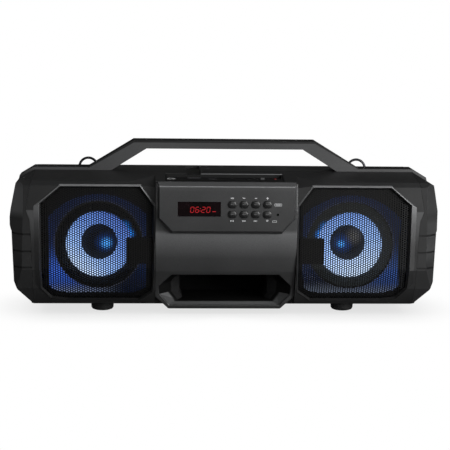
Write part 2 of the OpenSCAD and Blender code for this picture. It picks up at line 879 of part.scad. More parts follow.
module housing_screws() {
    color("#9a9ca0")
        both()
            for (s = seats)
                union() {
                    bar_y(s[0], s[1], 3.2, head_y, head_y + 2.4);
                    bar_y(s[0], s[1], screw_r, -12, head_y + 0.2);
                }
}
module end_cap_screws() {
    color("#9a9ca0")
        both()
            for (s = cap_spots)
                union() {
                    bar_x(s[0], cap_seat_z(s[1]), 3, wall_x - wall - 2, wall_x - wall);
                    bar_x(s[0], cap_seat_z(s[1]), screw_r, wall_x - wall - 0.2, wall_x + 10);
                }
}
// right hand loudspeaker
fit_in = inset(body, grown(body_t, grille_t + 1));
grille_xz = inset(bay_in, same(bay_in, -1));
module grille() {
    intersection() {
        difference() {
            along_x(cavity, ctr + wall + fit, wall_x - wall);
            along_x(inset(body, grown(body_t, grille_t)), ctr, wall_x);
        }
        along_y(grille_xz, -hd - 5, baf_y);
    }
}
ds_r = screw_r * ks;
ds_at = drv_r - 3.2 * ks;
module driver_spots() {
    for (a = [45:90:315])
        translate([drv_x + ds_at * cos(a), 0, drv_z + ds_at * sin(a)])
            children();
}
module baffle() {
    difference() {
        intersection() {
            block([ctr + wall + fit, baf_y, z0 + 11.5], [drv_x + drv_r + 1, fl_y, deck - wall - 5.8]);
            along_x(inset(body, grown(body_t, fit)), 0, hw);
        }
        bar_y(drv_x, drv_z, lip_r, baf_y - 1, fl_y + 1);
        driver_spots()
            bar_y(0, 0, ds_r + 0.1, baf_y - 1, fl_y + 1);
    }
}
// light housing that stands in front of the inner side of the cone
led_x0 = ctr + wall + fit;
led_x1 = drv_x - 28.6 * ks;
led_y0 = fy + 8.6;
led_y1 = fy + 13.6;
module led_blocks(g) {
    block([led_x0 - g, led_y0 - g, rise(0.34) - g], [led_x1 + g, led_y1 + g, rise(0.53) + g]);
    block([led_x0 - g, led_y0, rise(0.34) - g], [drv_x - lip_r - 2.4 + g, baf_y, rise(0.53) + g]);
}
module led_housing() {
    intersection() {
        led_blocks(0);
        along_x(fit_in, 0, hw);
    }
}
dish_r = lip_r + 0.8;
module diffuser() {
    difference() {
        intersection() {
            turned()
                polygon([
                    [dish_r, baf_y], [dish_r + 4, baf_y], [dish_r + 32, baf_y - 11],
                    [dish_r + 32, baf_y - 12.6], [dish_r + 4, baf_y - 1.6], [dish_r, baf_y - 1.6]
                ]);
            along_x(fit_in, led_x0, hw);
            along_y(inset(bay, same(bay, 7.5)), -hd, baf_y);
            bar_y(drv_x, drv_z - 16 * ks, 69 * ks, -hd, baf_y);
        }
        led_blocks(fit);
    }
}
bk_y = fl_y + 30;
bk_r = max(34 * ks, coil + 12);
spi_y = fl_y + 22;
spi_r = max(29 * ks, coil + 8);
module basket() {
    difference() {
        union() {
            turned()
                polygon([
                    [sur_r, fl_y], [drv_r, fl_y], [drv_r, fl_y + 1.6], [sur_r + 2, fl_y + 1.6],
                    [bk_r + 1.8, bk_y], [bk_r + 1.8, bk_y + 1.6], [coil + 3, bk_y + 1.6],
                    [coil + 3, bk_y], [bk_r, bk_y], [sur_r, fl_y + 1.6]
                ]);
            turned()
                polygon([
                    [spi_r, spi_y], [bk_r + 3.3 * ks, spi_y], [bk_r + 3 * ks, spi_y + 1.2],
                    [spi_r, spi_y + 1.2]
                ]);
        }
        for (a = [0:90:270])
            translate([drv_x, 0, drv_z])
                rotate([0, a, 0])
                    block([10, fl_y + 5, -9 * ks], [drv_r, fl_y + 18, 9 * ks]);
        driver_spots()
            bar_y(0, 0, ds_r + 0.2, fl_y - 1, fl_y + 3);
    }
}
mag_y = bk_y + 1.6;
mag_r = max(36 * ks, coil + 13);
module magnet() {
    turned()
        polygon([[coil + 1.6, mag_y], [mag_r - 3, mag_y], [mag_r - 3, mag_y + 5], [coil + 1.6, mag_y + 5]]);
    turned()
        polygon([[coil + 4, mag_y + 5], [mag_r, mag_y + 5], [mag_r, mag_y + 18], [coil + 4, mag_y + 18]]);
    turned()
        polygon([
            [0, mag_y], [coil - 0.6, mag_y], [coil - 0.6, mag_y + 18], [mag_r, mag_y + 18],
            [mag_r, mag_y + 23], [0, mag_y + 23]
        ]);
}
neck_y = fl_y + 19.8;
module cone() {
    turned()
        polygon([
            [cone_r, fl_y - 0.6], [cone_r, fl_y + 0.6], [coil + 0.4, neck_y + 1.2], [coil + 0.4, neck_y]
        ]);
}
dome_h = 9 * ks;
dome_r = (cap_r * cap_r + dome_h * dome_h) / (2 * dome_h);
dome_y = fl_y - 0.75 + 20.4 * (cone_r - cap_r) / (cone_r - coil - 0.4);
module dust_cap() {
    intersection() {
        translate([drv_x, dome_y - dome_h + dome_r, drv_z])
            difference() {
                sphere(r = dome_r);
                sphere(r = dome_r - 0.7);
            }
        bar_y(drv_x, drv_z, cap_r + 1, fl_y - 20, dome_y - 0.03);
    }
}
module voice_coil() {
    turned()
        polygon([
            [coil, neck_y], [coil + 0.4, neck_y], [coil + 0.4, mag_y - 0.8], [coil + 1, mag_y - 0.8],
            [coil + 1, mag_y + 5.6], [coil + 0.4, mag_y + 5.6], [coil + 0.4, mag_y + 6.4],
            [coil, mag_y + 6.4]
        ]);
}
module surround() {
    turned() {
        intersection() {
            translate([cone_r + roll_r, fl_y])
                difference() {
                    circle(r = roll_r);
                    circle(r = roll_r - 0.6);
                }
            translate([0, fl_y - roll_r - 1])
                square([sur_r + 5, roll_r + 1]);
        }
        translate([sur_r - 0.5, fl_y - 0.6])
            square([lip_r - 0.4 - sur_r + 0.5, 0.6]);
    }
}
module spider() {
    turned()
        polygon([
            [coil + 0.5, spi_y - 0.5], [spi_r + 2.2 * ks, spi_y - 0.5], [spi_r + 2.2 * ks, spi_y],
            [coil + 0.5, spi_y]
        ]);
}
module driver_screws() {
    color("#9a9ca0")
        both()
            driver_spots()
                union() {
                    bar_y(0, 0, 2.6 * ks, fl_y + 1.6, fl_y + 3.4);
                    bar_y(0, 0, ds_r, baf_y + 0.3, fl_y + 1.8);
                }
}
module left() {
    mirror([1, 0, 0])
        children();
}
module right_grille() { color("#202124") grille(); }
module left_grille() { color("#202124") left() grille(); }
module right_baffle() { color("#17181a") baffle(); }
module left_baffle() { color("#17181a") left() baffle(); }
module right_diffuser() { color("#5b83d8") diffuser(); }
module left_diffuser() { color("#5b83d8") left() diffuser(); }
module right_led_housing() { color("#101113") led_housing(); }
module left_led_housing() { color("#101113") left() led_housing(); }
module right_basket() { color("#3b3d41") basket(); }
module left_basket() { color("#3b3d41") left() basket(); }
module right_magnet() { color("#5a5c60") magnet(); }
module left_magnet() { color("#5a5c60") left() magnet(); }
module right_cone() { color("#b9c9e8") cone(); }
module left_cone() { color("#b9c9e8") left() cone(); }
module right_dust_cap() { color("#15171c") dust_cap(); }
module left_dust_cap() { color("#15171c") left() dust_cap(); }
module right_voice_coil() { color("#b4713a") voice_coil(); }
module left_voice_coil() { color("#b4713a") left() voice_coil(); }
module right_surround() { color("#121214") surround(); }
module left_surround() { color("#121214") left() surround(); }
module right_spider() { color("#c9a86a") spider(); }
module left_spider() { color("#c9a86a") left() spider(); }

front_cover();
rear_cover();
left_end_cap();
right_end_cap();
centre_fascia();
control_panel();
port_duct();
display_window();
display_module();
button_top_1();
button_top_2();
button_top_3();
button_top_4();
button_bottom_1();
button_bottom_2();
button_bottom_3();
button_bottom_4();
key_board();
tact_switches();
top_panel();
connector_board();
usb_port();
charge_port();
aux_jack();
power_switch_knob();
power_switch_body();
charge_led();
handle();
handle_screws();
left_strap_loop();
right_strap_loop();
left_grille();
right_grille();
left_baffle();
right_baffle();
left_diffuser();
right_diffuser();
left_led_housing();
right_led_housing();
left_basket();
right_basket();
left_magnet();
right_magnet();
left_cone();
right_cone();
left_dust_cap();
right_dust_cap();
left_voice_coil();
right_voice_coil();
left_surround();
right_surround();
left_spider();
right_spider();
driver_screws();
battery_pack();
amplifier_board();
feet();
housing_screws();
end_cap_screws();
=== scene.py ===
import math

import bmesh
import bpy
from mathutils import Matrix, Vector


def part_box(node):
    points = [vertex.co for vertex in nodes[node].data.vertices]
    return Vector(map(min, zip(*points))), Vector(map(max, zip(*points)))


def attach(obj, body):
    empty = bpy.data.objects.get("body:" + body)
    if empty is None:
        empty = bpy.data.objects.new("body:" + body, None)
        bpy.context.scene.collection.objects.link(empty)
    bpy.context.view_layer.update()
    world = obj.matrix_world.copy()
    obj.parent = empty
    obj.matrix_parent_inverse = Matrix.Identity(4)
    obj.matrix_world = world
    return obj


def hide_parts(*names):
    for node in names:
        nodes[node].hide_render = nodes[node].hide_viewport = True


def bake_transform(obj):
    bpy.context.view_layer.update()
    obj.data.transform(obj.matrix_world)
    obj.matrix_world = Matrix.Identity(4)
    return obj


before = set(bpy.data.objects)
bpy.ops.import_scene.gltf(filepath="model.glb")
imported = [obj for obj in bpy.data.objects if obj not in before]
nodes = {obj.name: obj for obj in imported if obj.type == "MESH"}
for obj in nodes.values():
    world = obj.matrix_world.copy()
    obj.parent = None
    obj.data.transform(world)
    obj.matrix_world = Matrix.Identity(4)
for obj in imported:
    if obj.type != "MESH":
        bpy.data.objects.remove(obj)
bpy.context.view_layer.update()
scene = bpy.context.scene
# direction of each side along X
OUT = {"left": -1.0, "right": 1.0}


def middle(node):
    """Middle of a node's box."""
    lo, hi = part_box(node)
    return [(a + b) / 2 for a, b in zip(lo, hi)]


# middle of each driver's cone, and the radius of its frame
drv = {side: middle(f"{side}_cone") for side in OUT}
DRV_R = (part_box("right_basket")[1][0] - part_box("right_basket")[0][0]) / 2


# materials
class Tree:
    """A material's node tree with short calls for the nodes used here."""

    def __init__(self, name):
        self.mat = bpy.data.materials.new(name)
        self.mat.use_nodes = True
        self.tree = self.mat.node_tree
        self.tree.nodes.clear()
        self.out = self.add("ShaderNodeOutputMaterial")
        self.bsdf = self.add("ShaderNodeBsdfPrincipled")
        self.link(self.bsdf.outputs[0], self.out.inputs["Surface"])
        self.coord = self.add("ShaderNodeTexCoord").outputs["Object"]

    def add(self, kind, **values):
        node = self.tree.nodes.new(kind)
        for key, value in values.items():
            setattr(node, key, value)
        return node

    def link(self, a, b):
        self.tree.links.new(a, b)

    def put(self, socket, value):
        """Link an output to a socket, or set the socket's own value."""
        if hasattr(value, "is_output"):
            self.link(value, socket)
        else:
            socket.default_value = value

    def math(self, op, a, b=0.0, c=0.0, clamp=False):
        node = self.add("ShaderNodeMath", operation=op, use_clamp=clamp)
        for socket, value in zip(node.inputs, (a, b, c)):
            self.put(socket, value)
        return node.outputs[0]

    def times(self, *factors):
        """Product of two or more values."""
        product = factors[0]
        for factor in factors[1:]:
            product = self.math("MULTIPLY", product, factor)
        return product

    def plus(self, a, b):
        return self.math("ADD", a, b)

    def axes(self):
        """X, Y and Z of a point of the object."""
        node = self.add("ShaderNodeSeparateXYZ")
        self.link(self.coord, node.inputs[0])
        return node.outputs

    def normal(self):
        """X, Y and Z of a face's direction."""
        node = self.add("ShaderNodeSeparateXYZ")
        self.link(self.add("ShaderNodeNewGeometry").outputs["Normal"], node.inputs[0])
        return node.outputs

    def noise(self, scale, detail=3.0, rough=0.55, stretch=None):
        node = self.add("ShaderNodeTexNoise")
        node.inputs["Scale"].default_value = scale
        node.inputs["Detail"].default_value = detail
        node.inputs["Roughness"].default_value = rough
        vec = self.coord
        if stretch:
            mapping = self.add("ShaderNodeMapping")
            mapping.inputs["Scale"].default_value = stretch
            self.link(self.coord, mapping.inputs["Vector"])
            vec = mapping.outputs[0]
        self.link(vec, node.inputs["Vector"])
        return node.outputs["Fac"]

    def ramp(self, fac, stops):
        """Colour band through pairs of position and colour."""
        node = self.add("ShaderNodeValToRGB")
        band = node.color_ramp
        while len(band.elements) < len(stops):
            band.elements.new(0.5)
        for element, (pos, colour) in zip(band.elements, stops):
            element.position = pos
            element.color = (*colour, 1.0)
        self.link(fac, node.inputs[0])
        return node.outputs[0]

    def spread(self, fac, low, high):
        """Colour band over the range that a noise really fills."""
        return self.ramp(fac, [(NOISE_LOW, low), (NOISE_HIGH, high)])

    def remap(self, value, lo, hi, to_lo=0.0, to_hi=1.0, smooth=False):
        node = self.add("ShaderNodeMapRange")
        node.clamp = True
        if smooth:
            node.interpolation_type = "SMOOTHSTEP"
        self.put(node.inputs["Value"], value)
        node.inputs["From Min"].default_value = lo
        node.inputs["From Max"].default_value = hi
        node.inputs["To Min"].default_value = to_lo
        node.inputs["To Max"].default_value = to_hi
        return node.outputs[0]

    def between(self, fac, low, high):
        """Value over the range that a noise really fills."""
        return self.remap(fac, NOISE_LOW, NOISE_HIGH, low, high)

    def mix(self, fac, a, b, mode="MIX"):
        node = self.add("ShaderNodeMix", data_type="RGBA", blend_type=mode)
        self.put(node.inputs[0], fac)
        for socket, value in ((node.inputs[6], a), (node.inputs[7], b)):
            if isinstance(value, tuple) and len(value) == 3:
                value = (*value, 1.0)
            self.put(socket, value)
        return node.outputs[2]

    def shaded(self, colour, factor):
        return self.mix(1.0, colour, factor, "MULTIPLY")

    def bump(self, height, strength, distance=0.0002):
        node = self.add("ShaderNodeBump")
        node.inputs["Strength"].default_value = strength
        node.inputs["Distance"].default_value = distance
        self.link(height, node.inputs["Height"])
        self.link(node.outputs[0], self.bsdf.inputs["Normal"])

    def set(self, **values):
        """Inputs of the surface by name, with _ for a space."""
        for key, value in values.items():
            self.put(self.bsdf.inputs[key.replace("_", " ")], value)


NOISE_LOW, NOISE_HIGH = 0.3, 0.7


def grey(v, tint=0.03):
    """Grey with a little blue."""
    return (v, v * (1 + tint * 0.4), v * (1 + tint))


def scaled(colour, factor):
    return tuple(min(1, c * factor) for c in colour)


# painted light and shade: factors from the object's own points and face directions; places in metres
SOFT_STEP = 0.0002
# painted highlight beside the loudspeakers: its reach across and up, and its strength
CHEEK_IN, CHEEK_OUT, CHEEK_HIGHLIGHT = 0.1893, 0.230, 2.6
CHEEK_RISE, CHEEK_END = (0.070, 0.109), (0.1108, 0.1112)
# end caps: slope of a cheek, heights of its upper and lower part, and how much painted highlight each gains
# left and right
CAP_SLOPE = (0.40, 0.62)
CAP_HIGH, CAP_HIGH_END, CAP_UPPER_HIGHLIGHT = (0.102, 0.110), (0.132, 0.142), (5.0, 0.8)
CAP_LOW, CAP_LOW_END, CAP_LOWER_HIGHLIGHT = (0.056, 0.070), (0.098, 0.106), (0.5, 1.4)
LEFT_TO_RIGHT = (-0.01, 0.01)
# heights of the end caps' grooves, which get painted shade
GROOVES, GROOVE_H, GROOVE_SHADE = (0.0515, 0.0680, 0.0855), 0.0016, 0.25
# plug's trough: half width, height and depth of its floor, then the painted shade of its floor and the
# painted light of its walls
TROUGH_HALF, TROUGH_Z, TROUGH_Y = (0.0072, 0.0076), (0.1400, 0.1405), (-0.0258, -0.0254)
TROUGH_FLOOR_SHADE, TROUGH_WALL_LIGHT = -0.65, 2.0
# port: depths over which the funnel's floor and neck get painted highlights, and how strong they are
FUNNEL_Y, FUNNEL_HIGHLIGHT = (-0.0290, -0.0270), 45.0
NECK_Y, NECK_HIGHLIGHT = (-0.0246, -0.0236), 5.0


def fade(t, stops):
    """Shade factor by height: pairs of height in millimetres and factor, joined by straight runs."""
    z = t.axes()[2]
    low, high = stops[0][0] / 1000, stops[-1][0] / 1000
    top = max(f for _, f in stops)
    steps = [((h / 1000 - low) / (high - low), (f / top,) * 3) for h, f in stops]
    return t.shaded(t.ramp(t.remap(z, low, high), steps), (top, top, top))


def cheek(t):
    """Painted highlight on the facets beside the loudspeakers, brightest just below their upper edge."""
    x, _, z = t.axes()
    side = t.math("ABSOLUTE", x)
    inside = t.times(t.remap(side, CHEEK_IN - SOFT_STEP, CHEEK_IN),
                     t.remap(side, CHEEK_OUT, CHEEK_OUT + SOFT_STEP, 1.0, 0.0))
    rise = t.times(t.remap(z, *CHEEK_RISE, 0.0, 1.0, True), t.remap(z, *CHEEK_END, 1.0, 0.0))
    return t.math("MULTIPLY_ADD", t.times(inside, rise), CHEEK_HIGHLIGHT, 1.0)


def cap_shade(t):
    """Painted light and shade of the end caps: painted highlights on the outer cheeks, not the same left and
    right, and painted shade in the grooves.
    """
    x, _, z = t.axes()
    outer = t.remap(t.math("ABSOLUTE", t.normal()[0]), *CAP_SLOPE)
    high = t.times(t.remap(z, *CAP_HIGH), t.remap(z, *CAP_HIGH_END, 1.0, 0.4))
    low = t.times(t.remap(z, *CAP_LOW), t.remap(z, *CAP_LOW_END, 1.0, 0.0))
    both = t.plus(t.times(high, t.remap(x, *LEFT_TO_RIGHT, *CAP_UPPER_HIGHLIGHT)),
                  t.times(low, t.remap(x, *LEFT_TO_RIGHT, *CAP_LOWER_HIGHLIGHT)))
    cut = 0.0
    for foot in GROOVES:
        top = foot + GROOVE_H
        groove = t.times(t.remap(z, foot - SOFT_STEP, foot), t.remap(z, top, top + SOFT_STEP, 1.0, 0.0))
        cut = t.plus(cut, groove)
    shade = t.math("MULTIPLY_ADD", t.times(outer, both), 1.0, 1.0)
    return t.times(shade, t.remap(cut, 0.0, 1.0, 1.0, GROOVE_SHADE))


def trough(t):
    """Painted light and shade in the plug's trough in the deck: a floor darkened as painted shade between
    side walls paled as painted light.
    """
    x, y, z = t.axes()
    off = t.math("ABSOLUTE", t.math("SUBTRACT", x, middle("usb_port")[0]))
    inside = t.times(t.remap(off, *TROUGH_HALF, 1.0, 0.0), t.remap(z, *TROUGH_Z), t.remap(y, *TROUGH_Y))
    wall = t.remap(t.math("ABSOLUTE", t.normal()[0]), 0.5, 0.8, TROUGH_FLOOR_SHADE, TROUGH_WALL_LIGHT)
    return t.math("MULTIPLY_ADD", inside, wall, 1.0)


def funnel(t):
    """Painted light in the port: painted highlights where the funnel's floor and lower corners look up, black
    behind.
    """
    y = t.axes()[1]
    nx, _, nz = t.normal()
    floor_highlight = t.times(t.remap(nz, 0.25, 0.5), t.remap(y, *FUNNEL_Y, 1.0, 0.0))
    neck_highlight = t.times(t.remap(t.math("ABSOLUTE", nx), 0.45, 0.6), t.remap(y, *NECK_Y))
    both = t.plus(t.times(floor_highlight, FUNNEL_HIGHLIGHT), t.times(neck_highlight, NECK_HIGHLIGHT))
    return t.plus(both, 1.0)


def housing_shade(t):
    """Painted light and shade of the covers: the painted cheek and trough light, and painted shade darker
    near the floor.
    """
    sides = t.times(cheek(t), trough(t))
    return t.shaded(sides, fade(t, [(12, 0.45), (32, 1.0)]))


def rim_shade(t):
    """Painted highlight of the rims, palest along the top."""
    return fade(t, [(40, 0.1), (78, 0.18), (98, 0.42), (112, 0.9), (116, 0.9), (134, 1.6)])


def fascia_shade(t):
    """Painted light and shade of the fascia: a painted highlight just below the control panel, painted shade
    low down.
    """
    return fade(t, [(7, 0.3), (16, 0.6), (44, 0.40), (62, 0.62), (88, 2.0), (92, 0.9), (139, 0.9)])


def panel_shade(t):
    """Painted light and shade of the control panel: darker low down, with a painted highlight line along its
    upper edge.
    """
    return fade(t, [(88, 0.45), (92, 0.8), (132, 1.1), (136.3, 1.5), (136.7, 6.0), (137.3, 6.0),
                    (137.7, 1.8), (141, 1.8)])


def handle_shade(t):
    """Painted shade of the handle: dark where it looks up."""
    return t.remap(t.normal()[2], 0.12, 0.5, 1.0, 0.14, True)


def grille_shade(t):
    """Painted highlight on the grilles: paler along the right hand one's outer edge."""
    return t.remap(t.axes()[0], 0.179, 0.186, 1.0, 4.0)


def plastic(name, base, rough=0.45, vary=0.18, grain=1500.0, bump=0.12, spec=0.5, tint=0.03, shade=None):
    """Moulded plastic: fine spark texture, slow shade changes, faint rubbed patches."""
    t = Tree(name)
    slow = t.noise(9.0, 2.0)
    fine = t.noise(grain, 2.0, 0.6)
    body = t.spread(slow, grey(base * (1 - vary), tint), grey(base * (1 + vary), tint))
    speck = t.ramp(fine, [(0.35, (0.86, 0.86, 0.86)), (0.65, (1.14, 1.14, 1.14))])
    colour = t.shaded(body, speck)
    if shade:
        colour = t.shaded(colour, shade(t))
    t.set(Base_Color=colour, Roughness=t.between(t.noise(26.0), rough - 0.05, rough + 0.06))
    t.set(Specular_IOR_Level=spec)
    t.bump(fine, bump)
    return t.mat


def rubber(name, base, rough=0.72, shade=None):
    """Dull rubber with a fine skin."""
    t = Tree(name)
    slow = t.noise(14.0)
    fine = t.noise(2200.0, 2.0)
    body = t.spread(slow, grey(base * 0.8), grey(base * 1.25))
    if shade:
        body = t.shaded(body, shade(t))
    t.set(Base_Color=body, Roughness=t.between(t.noise(40.0), rough - 0.08, rough + 0.06))
    t.set(Specular_IOR_Level=0.35)
    t.bump(fine, 0.25)
    return t.mat


def metal(name, base, rough=0.3, stretch=(1, 1, 1)):
    """Metal with fine streaks."""
    t = Tree(name)
    streak = t.noise(500.0, 3.0, 0.6, stretch)
    t.set(Base_Color=t.spread(streak, scaled(base, 0.8), scaled(base, 1.15)), Metallic=1.0)
    t.set(Roughness=t.between(streak, rough - 0.08, rough + 0.1))
    t.bump(streak, 0.08, 0.0001)
    return t.mat


# painted light: the light behind the grilles is a glow in the colours of the pieces round each driver
def polar(t, side):
    """Outward and upward distance from a driver's axis in driver radii, and the distance itself."""
    x, _, z = t.axes()
    u = t.times(t.math("SUBTRACT", x, drv[side][0]), OUT[side] / DRV_R)
    v = t.times(t.math("SUBTRACT", z, drv[side][2]), 1 / DRV_R)
    d = t.math("SQRT", t.plus(t.times(u, u), t.times(v, v)))
    return u, v, d


def along(t, u, v, a, b, wobble=0.12, scale=70.0):
    """Position along a direction, with a little unevenness."""
    line = t.plus(t.times(u, a), t.times(v, b))
    return t.plus(line, t.times(t.math("SUBTRACT", t.noise(scale), 0.5), wobble))


def spot(t, u, v, cu, cv, r):
    """One in the middle of a soft round patch, nought outside it."""
    a = t.math("SUBTRACT", u, cu)
    b = t.math("SUBTRACT", v, cv)
    d = t.math("SQRT", t.plus(t.times(a, a), t.times(b, b)))
    return t.remap(d, 0.0, r, 1.0, 0.0, True)


# lean of the light on each cone, and where it starts and ends
CONE_LIGHT = {"left": (0.62, -0.66, 0.96), "right": (0.24, -1.26, 0.84)}
# blue of each bowl's painted glow
BOWL_BLUE = {"left": (0.026, 0.085, 0.42), "right": (0.020, 0.056, 0.21)}
# outward range over which the painted grey reflection at the bottom of each bowl comes up
BOWL_REFLECTION = {"left": (-0.6, 0.3), "right": (-1.5, -1.0)}
# radius of the tight painted blue reflection on each dust cap
DOME_REFLECTION_R = {"left": 0.16, "right": 0.11}
# faint painted sheen over each roll
ROLL_SHEEN = {"left": (0.0, 0.0, 0.0), "right": (0.010, 0.012, 0.012)}


def cone_mat(side):
    """Pressed fibre with a painted blue glow: deep blue at the top, nearly white low down, dimmer next to the
    dust cap and towards the rim.
    """
    t = Tree(f"{side}_cone_lit")
    u, v, d = polar(t, side)
    lean, low, high = CONE_LIGHT[side]
    fac = t.remap(along(t, u, v, lean, -0.8), low, high)
    colour = t.ramp(fac, [(0.0, (0.055, 0.118, 0.42)), (0.3, (0.115, 0.235, 0.62)),
                          (0.62, (0.275, 0.455, 0.84)), (1.0, (0.72, 0.84, 0.93))])
    level = t.times(t.remap(d, 0.355, 0.385, 0.3, 1.0, True), t.remap(d, 0.60, 0.69, 1.0, 0.75))
    fibres = t.noise(420.0, 3.0, 0.6)
    t.set(Base_Color=t.spread(fibres, (0.2, 0.25, 0.36), (0.28, 0.33, 0.44)), Roughness=0.7)
    t.set(Emission_Color=colour, Emission_Strength=t.times(level, 1.6))
    t.bump(fibres, 0.25, 0.0003)
    return t.mat


def bowl_mat(side):
    """Frosted light guide round a driver with a painted glow: bright low on the outer side, a painted grey
    reflection along the bottom and a painted pale line at its inner edge.
    """
    t = Tree(f"{side}_bowl_lit")
    u, v, d = polar(t, side)
    colour = t.ramp(t.remap(v, -0.3, 1.1), [(0.0, (0.001, 0.003, 0.012)), (1.0, (0.0025, 0.007, 0.032))])
    blue = t.times(t.remap(along(t, u, v, 0.80, -0.58, 0.2), 0.30, 1.02, 0.0, 1.0, True),
                   t.remap(v, 0.15, -0.60, 0.12, 1.0, True), t.remap(v, -1.05, -0.60, 0.25, 1.0))
    colour = t.mix(blue, colour, BOWL_BLUE[side])
    pale = t.times(t.remap(v, -0.74, -1.0, 0.0, 1.0, True), t.remap(u, *BOWL_REFLECTION[side], 0.0, 1.0, True))
    colour = t.mix(t.times(pale, 0.75), colour, (0.10, 0.12, 0.16))
    inner = t.times(t.remap(u, -0.55, -0.85), t.remap(v, 0.65, 0.2), t.remap(v, -0.85, -0.5))
    colour = t.mix(t.times(inner, 0.6), colour, (0.002, 0.010, 0.048))
    edge = t.remap(d, 0.905, 0.935, 1.0, 0.0)
    colour = t.mix(t.times(edge, 0.35), colour, (0.05, 0.05, 0.055))
    margin = t.times(t.remap(u, 0.985, 1.02), t.remap(v, 0.35, 0.15))
    colour = t.mix(margin, colour, (0.0, 0.0005, 0.002))
    haze = t.noise(500.0, 2.0)
    t.set(Base_Color=t.spread(haze, (0.02, 0.03, 0.06), (0.03, 0.04, 0.08)))
    t.set(Roughness=t.between(haze, 0.35, 0.5), Emission_Color=colour, Emission_Strength=1.7)
    t.bump(haze, 0.15)
    return t.mat


def dome_mat(side):
    """Black dust cap with a painted reflection of the light's blue on its inner side, and a painted grey
    sheen on the right.
    """
    t = Tree(f"{side}_dome")
    u, v, _ = polar(t, side)
    wide = spot(t, u, v, -0.12, 0.0, 0.26)
    tight = spot(t, u, v, -0.15, -0.01, DOME_REFLECTION_R[side])
    colour = t.mix(wide, (0.0, 0.0005, 0.002), (0.006, 0.040, 0.19))
    colour = t.mix(t.times(tight, 0.8), colour, (0.08, 0.40, 1.0))
    if side == "right":
        sheen = spot(t, u, v, 0.12, 0.15, 0.24)
        colour = t.mix(t.times(sheen, 0.8), colour, (0.080, 0.078, 0.072))
    skin = t.noise(300.0)
    t.set(Base_Color=t.spread(skin, (0.0012, 0.0013, 0.0018), (0.0026, 0.0028, 0.0036)))
    t.set(Roughness=t.between(skin, 0.42, 0.52), Specular_IOR_Level=0.15)
    t.set(Emission_Color=colour, Emission_Strength=1.9)
    return t.mat


def roll_mat(side):
    """Rubber roll round the cone, with the light's spill painted above its housing, a painted pale line round
    its outer edge, and a faint painted sheen all over on the right.
    """
    t = Tree(f"{side}_roll")
    u, v, d = polar(t, side)
    spill = t.plus(spot(t, u, v, -0.63, 0.22, 0.16), t.times(spot(t, u, v, -0.54, 0.38, 0.17), 0.6))
    spill = t.math("MULTIPLY", spill, t.remap(v, 0.14, 0.2), clamp=True)
    spill = t.times(spill, t.remap(d, 0.73, 0.82, 1.0, 0.0))
    line = t.times(t.remap(d, 0.85, 0.875), t.remap(v, -0.2, 0.7, 0.15, 1.0))
    colour = t.mix(spill, ROLL_SHEEN[side], (0.012, 0.18, 0.66))
    colour = t.mix(t.times(line, 0.5), colour, (0.018, 0.018, 0.016))
    skin = t.noise(900.0)
    t.set(Base_Color=t.spread(skin, (0.005, 0.005, 0.0055), (0.009, 0.009, 0.0095)))
    t.set(Roughness=t.between(skin, 0.4, 0.55), Emission_Color=colour, Emission_Strength=1.8)
    t.bump(skin, 0.15)
    return t.mat


def window_mat(name):
    """Dark glossy window with faint smears."""
    t = Tree(name)
    smear = t.noise(70.0, 4.0)
    t.set(Base_Color=t.spread(smear, (0.002, 0.001, 0.001), (0.006, 0.002, 0.003)))
    t.set(Roughness=t.between(smear, 0.06, 0.14))
    return t.mat


def board_mat(name):
    """Green laminate with paler copper runs under the mask."""
    t = Tree(name)
    runs = t.noise(260.0, 1.0, 0.4, (1, 1, 5))
    t.set(Base_Color=t.ramp(runs, [(0.46, (0.006, 0.05, 0.016)), (0.5, (0.015, 0.09, 0.03))]))
    t.set(Roughness=t.between(t.noise(60.0), 0.25, 0.4))
    t.bump(runs, 0.2)
    return t.mat


def glow(name, colour, strength):
    """Small light with a slight grain."""
    t = Tree(name)
    grain = t.noise(1500.0, 2.0)
    t.set(Base_Color=(*scaled(colour, 0.3), 1.0), Roughness=0.4)
    t.set(Emission_Color=t.ramp(grain, [(0.2, scaled(colour, 0.85)), (0.8, colour)]))
    t.set(Emission_Strength=strength)
    return t.mat


